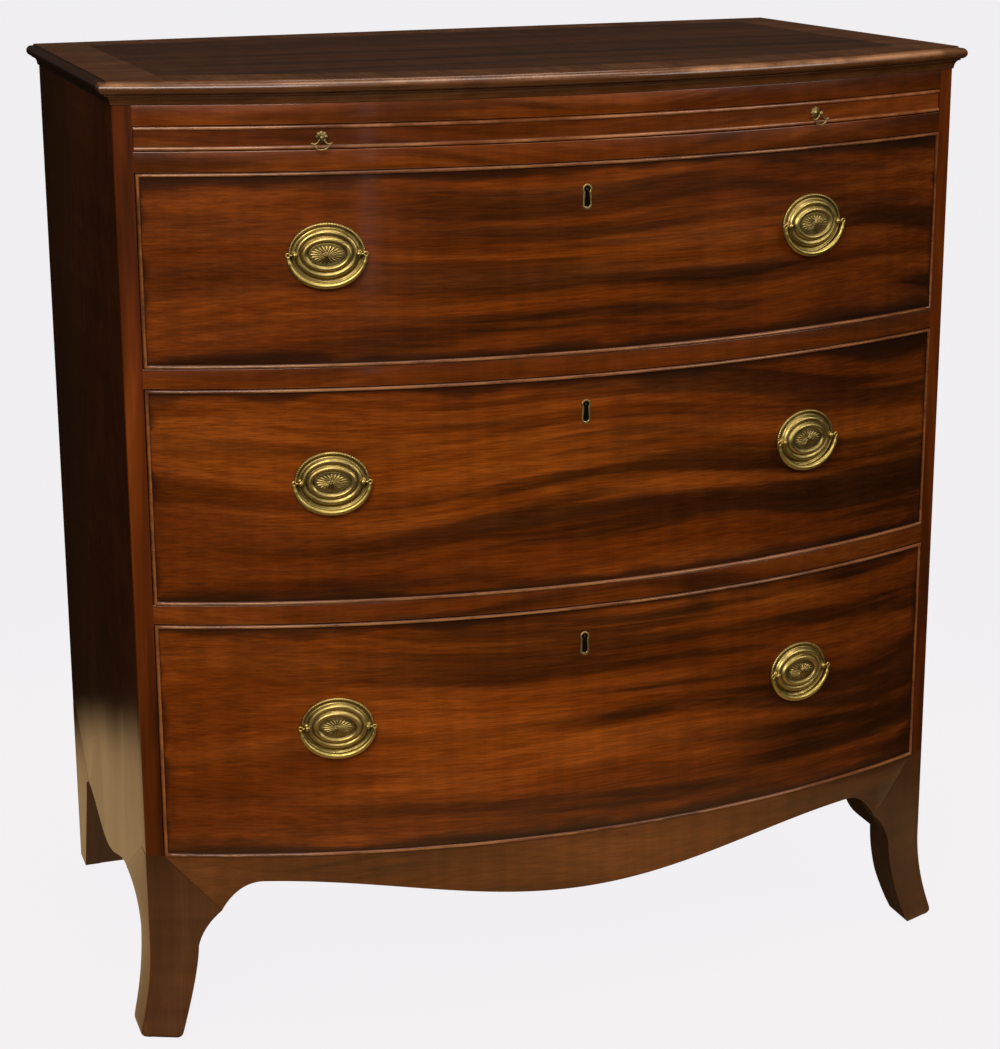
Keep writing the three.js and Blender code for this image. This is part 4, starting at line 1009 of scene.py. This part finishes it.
# Keyholes, in millimetres: the width and height left open in the veneer, then for the rim and its
# slot the head's radius, half the waist, half the foot, top, bottom and rounding of the foot
KEY_WINDOW = (8.0, 23.0)
KEY_RIM = (5.1, 4.4, 5.0, 12.75, -12.75, 3.4)
KEY_SLOT = (3.0, 2.0, 2.7, 10.4, -9.8, 2.3)
KEY_DEPTH = 3.0
KEY_ROWS = [
    (0.0, -KEY_DEPTH), (0.0, 0.2), (0.2, 0.65), (0.5, 0.9), (0.8, 0.7), (1.0, 0.25), (1.0, -KEY_DEPTH),
]
KEY_PIN = [(0.9, -0.2), (0.9, 0.3), (0.6, 0.5)]
# Where the face of painted shade sits: a share of the way from the rim's outline to the slot's, and its
# height off the front
KEY_SHADE_FACE = (0.9, 0.06)
KEY_DIRT_AND_SHADE = 0.8


def key_outline(head, waist, foot, top, bottom, point):
    """The outline of a keyhole: round head, narrow waist and rounded foot."""
    start = asin(waist / head)
    outline = [
        (-head * sin(a), top - head - head * cos(a)) for a in spread(start, tau - start, 40)
    ]
    sole = bottom + point
    right = [
        (mix(waist, foot, (1 - cos(pi * t)) / 2), mix(outline[0][1], sole, t))
        for t in spread(0, 1, 10)[1:]
    ]
    under = [(foot * cos(a), sole - point * sin(a)) for a in spread(0, pi, 14)[1:-1]]
    return [*outline, *right, *under, *[(-x, z) for x, z in reversed(right)]]


def build_escutcheon(name, keyhole):
    """The rim of a keyhole, with the lock's pin and a near-black face of painted shade in its slot."""
    outer, slot = key_outline(*KEY_RIM), key_outline(*KEY_SLOT)

    def ring(share, height):
        return [Vector((mix(a, c, share), -height, mix(b, d, share))) for (a, b), (c, d) in zip(outer, slot)]

    skin = Skin()
    skin.loft([ring(*row) for row in KEY_ROWS], looped=True)
    skin.turned(KEY_PIN, Vector((0, 0, KEY_SLOT[3] - KEY_SLOT[0])), 12)
    # A near-black face of painted shade closing the slot just proud of the front
    shade_face = ring(*KEY_SHADE_FACE)
    skin.face(range(len(skin.points), len(skin.points) + len(shade_face)), 1)
    skin.points.extend(shade_face)
    piece = skin.make(f"{name}_keyhole_rim", ["brass_dark", "keyhole"], name,
                      [f"{name}_escutcheon"], seat_matrix(0, keyhole), sharp=50.0)
    # Tarnish with painted shade on the slot's walls, the pin and the dark face
    dirt = [KEY_DIRT_AND_SHADE if share > 0.9 else 0.0 for share, _ in KEY_ROWS for _ in outer]
    paint(piece, "tarnish_and_shade", dirt, KEY_DIRT_AND_SHADE)


# Oval plates: half width, half height and height above the back, in millimetres, then tarnish with painted
# shade
PLATE_BACK = 0.3
PLATE_ROWS = [
    (36.6, 29.6, 0.0, 0.3), (37.0, 30.0, 0.7, 0.2), (36.9, 29.9, 1.5, 0.0), (36.3, 29.3, 2.15, 0.0),
    (35.7, 28.7, 2.35, 0.0), (35.1, 28.1, 2.1, 0.1), (34.5, 27.5, 1.4, 0.6), (33.8, 26.9, 1.0, 0.6),
    (32.6, 25.9, 0.8, 0.35), (31.6, 25.0, 0.9, 0.3), (31.0, 24.4, 1.4, 0.3), (30.5, 23.9, 2.6, 0.15),
    (29.9, 23.2, 3.9, 0.0), (29.0, 22.3, 4.8, 0.0), (27.9, 21.1, 5.1, 0.0), (26.8, 19.8, 5.0, 0.0),
    (26.0, 18.7, 4.5, 0.25), (25.5, 18.0, 4.0, 0.65), (25.1, 17.4, 4.0, 0.65), (24.7, 16.9, 4.7, 0.2),
    (24.0, 16.2, 5.8, 0.0), (22.9, 15.3, 6.7, 0.0), (21.6, 14.2, 7.0, 0.0), (20.2, 13.1, 6.8, 0.05),
    (19.1, 12.2, 6.1, 0.25), (18.4, 11.6, 5.2, 0.6), (17.9, 11.2, 5.0, 0.7), (17.3, 10.8, 5.2, 0.5),
]
PLATE_SIDES = 336
ROPE_BEADS = 84
ROPE_ROWS = range(2, 5)
ROPE_TWIST = 1.1
ROPE_DEPTH = 0.55
ROPE_DIRT_AND_SHADE = 0.6

# The flower in the plate's middle: shares of its oval, then heights in millimetres
BOSS_ROWS = 20
PETALS = 20
PETAL_REACH = 0.80
PETAL_WIDENING = 0.14
PETAL_NOTCH = 0.20
BUD_SHARE = 0.2
PETAL_RISE = 1.3
FLUTE_DEPTH = 0.5
BUD_RISE = 0.5
FLOWER_DIRT = 0.34
FLUTE_DIRT_AND_SHADE = 0.7

# Handles, in millimetres: posts, nuts, bails with their eyes and pins
HANDLE_REACH = 255.0
HANDLE_RISE = 16.0
POST_SPACING = 61.0
POST_COLLAR = [(3.6, 0.9), (3.6, 2.2), (2.9, 2.9), (2.0, 3.3)]
POST_NECK = 2.0
POST_DIRT = 0.15
FRONT_THICK = 22.0
NUT_BACK = -FRONT_THICK - 0.9
NUT = [(5.6, NUT_BACK - 3), (6.0, NUT_BACK - 2.6), (6.0, NUT_BACK), (2.0, NUT_BACK), (2.0, 0.4)]
BALL = 3.0
BAIL_STAND = 6.0
BAIL_REACH = 37.3
BAIL_DROP = 30.6
BAIL_ROD = 2.9
BAIL_END = 1.5
BAIL_COLLAR = 0.45
BAIL_COLLAR_AT = 0.26
BAIL_REST = PLATE_BACK + 2.4 + 0.3 + BAIL_ROD
EYE = 1.9
EYE_WIRE = 0.8
PIN = 0.8
PIN_DEPTH = 1.6


def flower_at(t, share):
    """Height, and tarnish with painted shade, of the flower at an angle, a share of the way out."""
    ridge = abs(cos(PETALS * t / 2))
    tip = PETAL_REACH + PETAL_WIDENING * abs(cos(t)) ** 5 - PETAL_NOTCH * (1 - ridge)
    within = max(0, 1 - share / tip)
    relief = sin(pi / 2 * min(1, within * 1.3)) * PETAL_RISE
    flute = FLUTE_DEPTH * (1 - ridge**0.7) * sin(pi * min(1, within * 1.1)) ** 0.6
    bud = BUD_RISE if share < BUD_SHARE else 0
    return relief - flute + bud, min(1.0, FLOWER_DIRT + FLUTE_DIRT_AND_SHADE * flute)


def plate_points():
    """The plate's rings, with a roped rim and a fluted flower, and the tarnish with painted shade at each
    point.
    """
    rings, dirt = [], []

    def add_ring(a, b, form):
        """One oval ring. The form gives the height, and the tarnish with painted shade, at an angle."""
        angles = around(PLATE_SIDES)
        made = [form(t) for t in angles]
        rings.append([
            Vector((a * cos(t), -(PLATE_BACK + height), b * sin(t)))
            for t, (height, _) in zip(angles, made)
        ])
        dirt.extend(share for _, share in made)

    def roped(t, row, height, tarnish_and_shade):
        """The rim's height, and tarnish with painted shade, where a twisted rope runs round it."""
        wave = 0.5 - 0.5 * cos(ROPE_BEADS * t + ROPE_TWIST * (row - ROPE_ROWS[0]))
        return height - ROPE_DEPTH * wave, min(1.0, tarnish_and_shade + ROPE_DIRT_AND_SHADE * wave)

    for row, (a, b, height, tarnish_and_shade) in enumerate(PLATE_ROWS):
        if row in ROPE_ROWS:
            add_ring(a, b, lambda t: roped(t, row, height, tarnish_and_shade))
        else:
            add_ring(a, b, lambda t: (height, tarnish_and_shade))
    for step in range(1, BOSS_ROWS + 1):
        share = 1 - step / (BOSS_ROWS + 0.6)

        def form(t):
            rise, shade = flower_at(t, share)
            return height + rise, shade

        add_ring(a * share, b * share, form)
    return rings, dirt


def seat_matrix(x, z, out=0.0):
    """Local millimetres, -Y out of the front, to the row frame at a point of the bow."""
    angle = asin(x / (RADIUS + out))
    at = Vector((x, bow_y(x, out), z))
    return Matrix.Translation(at) @ Matrix.Rotation(angle, 4, "Z") @ Matrix.Scale(MM, 4)


def ball_profile(radius, neck, stand):
    """A ball on its neck, as radius and height pairs."""
    start = asin(neck / radius)
    return [
        (radius * sin(a), stand - radius * cos(a)) for a in spread(start, pi * 0.985, 10)
    ]


def build_plate(name, hand, matrix):
    """An oval plate with its two posts, shanks and nuts."""
    rings, dirt = plate_points()
    skin = Skin()
    skin.loft(rings)
    for sign in (-1, 1):
        at = Vector((sign * POST_SPACING / 2, 0, 0))
        skin.turned([*POST_COLLAR, *ball_profile(BALL, POST_NECK, BAIL_STAND)], at)
        skin.turned(NUT, at, 8)
    piece = skin.make(f"{name}_oval_plate_{hand}", ["brass"], name,
                      [f"{name}_plate_{hand}"], matrix, sharp=60.0)
    paint(piece, "tarnish_and_shade", dirt, POST_DIRT)


def build_bail(node, matrix):
    """A swinging bail, thick at its middle, with a ring eye and a pin at each end."""
    skin = Skin()
    first = asin(EYE / BAIL_DROP)
    path, radii = [], []
    for a in spread(first, pi - first, 64):
        drop = sin(a)
        stand = mix(BAIL_STAND, BAIL_REST, drop)
        path.append(Vector((BAIL_REACH * cos(a), -stand, -BAIL_DROP * drop)))
        collar = BAIL_COLLAR * exp(-((drop - BAIL_COLLAR_AT) / 0.05) ** 2)
        radii.append(mix(BAIL_END, BAIL_ROD, min(1, drop * 1.25) ** 1.2) + collar)
    skin.tube(path, radii, 16)
    for sign in (-1, 1):
        centre = Vector((sign * BAIL_REACH, -BAIL_STAND, 0))
        ring = [centre + Vector((EYE * cos(a), 0, EYE * sin(a))) for a in around(20)]
        skin.tube(ring, [EYE_WIRE] * len(ring), looped=True)
        ends = (POST_SPACING / 2 + BALL - PIN_DEPTH, BAIL_REACH - EYE)
        skin.tube([Vector((sign * reach, -BAIL_STAND, 0)) for reach in ends], [PIN, PIN])
    piece = skin.make(f"{node}_bar", ["brass_bail"], node, [node], matrix, sharp=50.0)
    paint(piece, "tarnish_and_shade")


# Small cast pulls on the slide, in millimetres: lobed rosette, ball, and drop ring
PULL_REACH = 257.0
PULL_STAND = 9.5
PULL_BALL = 2.6
PULL_NECK = 1.5
PULL_SHANK = [(PULL_NECK, -12), (PULL_NECK, 0.2)]
ROSETTE = [(5.8, 0.3), (5.8, 1.0), (5.2, 1.9), (3.8, 2.3), (3.0, 3.2), (1.8, 4.0), (1.5, 5.2)]
ROSETTE_TOP = 2.4
ROSETTE_LOBES = 8
LOBE_DEPTH = 0.10
ROSETTE_DIRT = 0.1
RING_PATH = [
    (1.3, 0.3), (2.6, 2.8), (4.7, 5.2), (7.0, 6.1), (9.6, 5.2), (7.4, 6.9), (6.0, 8.8), (3.4, 10.9),
    (0, 11.5),
]
RING_WIRE = 0.85
RING_BAR = 2.0
RING_BAR_WIRE = 0.8


def smooth_path(points, steps):
    """Catmull-Rom points through the given ones."""
    ends = [points[0], *points, points[-1]]
    path = []
    for a, b, c, d in zip(ends, ends[1:], ends[2:], ends[3:]):
        for t in spread(0, 1, steps)[:-1]:
            path.append(0.5 * (2 * b + (c - a) * t + (2 * a - 5 * b + 4 * c - d) * t * t
                               + (3 * b - 3 * c + d - a) * t**3))
    return [*path, points[-1]]


def build_pull(hand, matrix):
    """A turned pull on its lobed rosette."""
    rings = []
    for r, h in [*ROSETTE, *ball_profile(PULL_BALL, PULL_NECK, PULL_STAND)]:
        lobe = LOBE_DEPTH if h < ROSETTE_TOP else 0.0
        radii = [(r * (1 + lobe * cos(ROSETTE_LOBES * a)), a) for a in around(48)]
        rings.append([Vector((radius * cos(a), -h, radius * sin(a))) for radius, a in radii])
    skin = Skin()
    skin.loft(rings)
    skin.turned(PULL_SHANK, sides=12)
    piece = skin.make(f"slide_rosette_{hand}", ["brass_dark"], "slide",
                      [f"slide_pull_{hand}"], matrix, sharp=50.0)
    paint(piece, "tarnish_and_shade", rest=ROSETTE_DIRT)


def build_ring(node, matrix):
    """A drop ring with the bar that it swings on."""
    right = [Vector((r, -PULL_STAND, -d)) for r, d in RING_PATH]
    left = [Vector((-p.x, p.y, p.z)) for p in reversed(right[:-1])]
    path = smooth_path([*right, *left], 5)
    skin = Skin()
    skin.tube(path, [RING_WIRE] * len(path))
    bar = [Vector((x, -PULL_STAND, 0)) for x in (-RING_BAR, RING_BAR)]
    skin.tube(bar, [RING_BAR_WIRE, RING_BAR_WIRE], normal=Vector((0, 0, 1)))
    piece = skin.make(f"{node}_bow", ["brass_dark"], node, [node], matrix, sharp=50.0)
    paint(piece, "tarnish_and_shade")


def build_pulls():
    low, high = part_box("brushing_slide")
    for hand, sign in HANDS.items():
        matrix = seat_matrix(sign * PULL_REACH * MM, (low.z + high.z) / 2, -SLIDE_RECESS)
        build_pull(hand, matrix)
        build_ring(f"slide_ring_{hand}", matrix)


def build_drawers():
    """Each drawer's bead, veneer, keyhole rim and handles, and the finish of its other pieces."""
    for level in DRAWERS:
        name = f"drawer_{level}"
        low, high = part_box(f"{name}_cockbead")
        rim_low, rim_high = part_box(f"{name}_escutcheon")
        keyhole = (rim_low.z + rim_high.z) / 2
        finishes[f"{name}_front"] = drawer_veneer(level, low, high).material
        build_bead(name, low, high)
        build_veneer(name, low, high, keyhole)
        build_escutcheon(name, keyhole)
        for part, finish in (
            ("front", f"{name}_front"), ("side_left", "oak_y"), ("side_right", "oak_y"),
            ("back", "oak_x"), ("bottom", "oak_x"), ("lock", "lock"), ("lock_bolt", "lock"),
        ):
            keep(f"{name}_{part}", finish)
        handle_z = (low.z + high.z) / 2 + HANDLE_RISE * MM
        for hand, sign in HANDS.items():
            matrix = seat_matrix(sign * HANDLE_REACH * MM, handle_z)
            build_plate(name, hand, matrix)
            build_bail(f"{name}_bail_{hand}", matrix)


# Stage: a pale floor, soft lamps and the camera
PALE = (0.917, 0.902, 0.925)
PALE_STRENGTH = 0.95
FLOOR = (0.56, 0.40, 0.24)
FLOOR_HALF = 60
POLISH_FLOOR = (0.54, 0.335, 0.150)
POLISH_DARK = (0.01, 0.006, 0.003)
POLISH_EDGE = (0.72, 0.95)
ROOM = (1, 0.93, 0.86)
ROOM_LIGHT = 0.42
ROOM_IN_POLISH = 0.03


def floor_material():
    """Pale to the eye, and in the polish a warm patch that starts round the chest."""
    finish = Finish("floor")
    finish.tree.nodes.remove(finish.shader)
    place = finish.add("NewGeometry").outputs["Position"]
    distance = finish.add("VectorMath", {0: place}, operation="LENGTH").outputs["Value"]
    near = finish.between(distance, 0.75, 1.5, 1.0, 0.05)
    diffuse = finish.add("BsdfDiffuse", {"Color": finish.blend(near, (0, 0, 0), FLOOR)})
    rays = finish.add("LightPath").outputs
    in_polish = finish.math("MAXIMUM", rays["Is Glossy Ray"], rays["Is Transmission Ray"])
    warm = finish.blend(finish.between(distance, *POLISH_EDGE), POLISH_FLOOR, POLISH_DARK)
    pale = finish.add("Emission", {"Color": finish.blend(in_polish, PALE, warm), "Strength": 1.0})
    share = finish.math("MAXIMUM", in_polish, finish.times(rays["Is Camera Ray"], PALE_STRENGTH))
    joined = finish.add("MixShader", {0: share, 1: diffuse.outputs[0], 2: pale.outputs[0]})
    finish.tree.links.new(joined.outputs[0], finish.tree.nodes["Material Output"].inputs[0])
    return finish.material


def build_floor():
    mesh = bpy.data.meshes.new("floor")
    corners = [(x * FLOOR_HALF, y * FLOOR_HALF, 0) for x, y in ((-1, -1), (1, -1), (1, 1), (-1, 1))]
    mesh.from_pydata(corners, [], [(0, 1, 2, 3)])
    mesh.materials.append(floor_material())
    shown("floor", mesh)


def build_world():
    """A dim warm room that is pale to the camera."""
    room = Finish("studio", "worlds", "Background")
    bpy.context.scene.world = room.material
    rays = room.add("LightPath").outputs
    strength = room.add("MapRange", {
        "Value": rays["Is Glossy Ray"], "To Min": ROOM_LIGHT, "To Max": ROOM_IN_POLISH,
    })
    room.surface(color=ROOM, strength=strength.outputs[0])
    seen = room.add("Background", {"Color": PALE, "Strength": PALE_STRENGTH})
    joined = room.add("MixShader", {
        0: rays["Is Camera Ray"], 1: room.shader.outputs[0], 2: seen.outputs[0],
    })
    room.feed(room.tree.nodes["World Output"].inputs["Surface"], joined.outputs[0])


def lamp(name, at, target, size, power, colour, glossy=True):
    light = bpy.data.lights.new(name, "AREA")
    light.shape = "RECTANGLE"
    light.size, light.size_y = size
    light.energy = power
    light.color = colour
    holder = shown(name, light)
    holder.location = at
    holder.rotation_euler = (Vector(target) - Vector(at)).to_track_quat("-Z", "Y").to_euler()
    holder.visible_glossy = glossy


def build_lamps():
    lamp("key", (-2.0, -3.2, 2.8), (0, -0.2, 0.5), (2.2, 1.6), 150, (1.0, 0.97, 0.93))
    lamp("fill", (2.6, -2.8, 2.4), (0, -0.2, 0.5), (2.0, 1.4), 60, (1.0, 0.98, 0.96))
    lamp("above", (0.2, -0.6, 3.4), (0, -0.1, 0.6), (2.0, 1.4), 45, (1.0, 0.98, 0.95))
    lamp("strip", (-0.55, -3.4, 0.9), (-0.2, -0.2, 0.6), (0.10, 1.5), 0.4, (0.80, 0.88, 1.0))
    lamp("behind", (-1.5, 2.6, 2.2), (0, 0.2, 0.5), (1.6, 1.2), 30, (1.0, 0.98, 0.96), glossy=False)


# Camera of the photograph, a 1000 by 1049 image cropped from a wider one
PHOTO_WIDE, PHOTO_HIGH = 1000, 1049
AXIS_X, AXIS_Y = 417.5, 460.24
FOCAL_PIXELS = 2323.42
SENSOR = 36
CAMERA_AT = Vector((-816.84, -2375.74, 1192.45)) * MM
CAMERA_YAW = 0.29652
CAMERA_PITCH = -0.25652
CAMERA_ROLL = -0.01319


def build_camera():
    data = bpy.data.cameras.new("camera")
    data.sensor_fit = "AUTO"
    data.sensor_width = SENSOR
    data.lens = FOCAL_PIXELS / PHOTO_HIGH * SENSOR
    data.shift_x = (PHOTO_WIDE / 2 - AXIS_X) / PHOTO_HIGH
    data.shift_y = (AXIS_Y - PHOTO_HIGH / 2) / PHOTO_HIGH
    data.clip_start, data.clip_end = 0.05, 200
    camera = shown("camera", data)
    level = cos(CAMERA_PITCH)
    forward = Vector((sin(CAMERA_YAW) * level, cos(CAMERA_YAW) * level, sin(CAMERA_PITCH)))
    right = Vector((cos(CAMERA_YAW), -sin(CAMERA_YAW), 0))
    up = right.cross(forward)
    rolled = right * cos(CAMERA_ROLL) + up * sin(CAMERA_ROLL)
    upright = up * cos(CAMERA_ROLL) - right * sin(CAMERA_ROLL)
    turn = Matrix((rolled, upright, -forward)).transposed().to_4x4()
    camera.matrix_world = Matrix.Translation(CAMERA_AT) @ turn
    bpy.context.scene.camera = camera


build_top()
build_sides()
build_rails()
build_slide()
build_front_feet()
build_apron()
build_pulls()
build_drawers()
build_floor()
build_world()
build_lamps()
build_camera()
bpy.context.scene.view_settings.view_transform = "Standard"
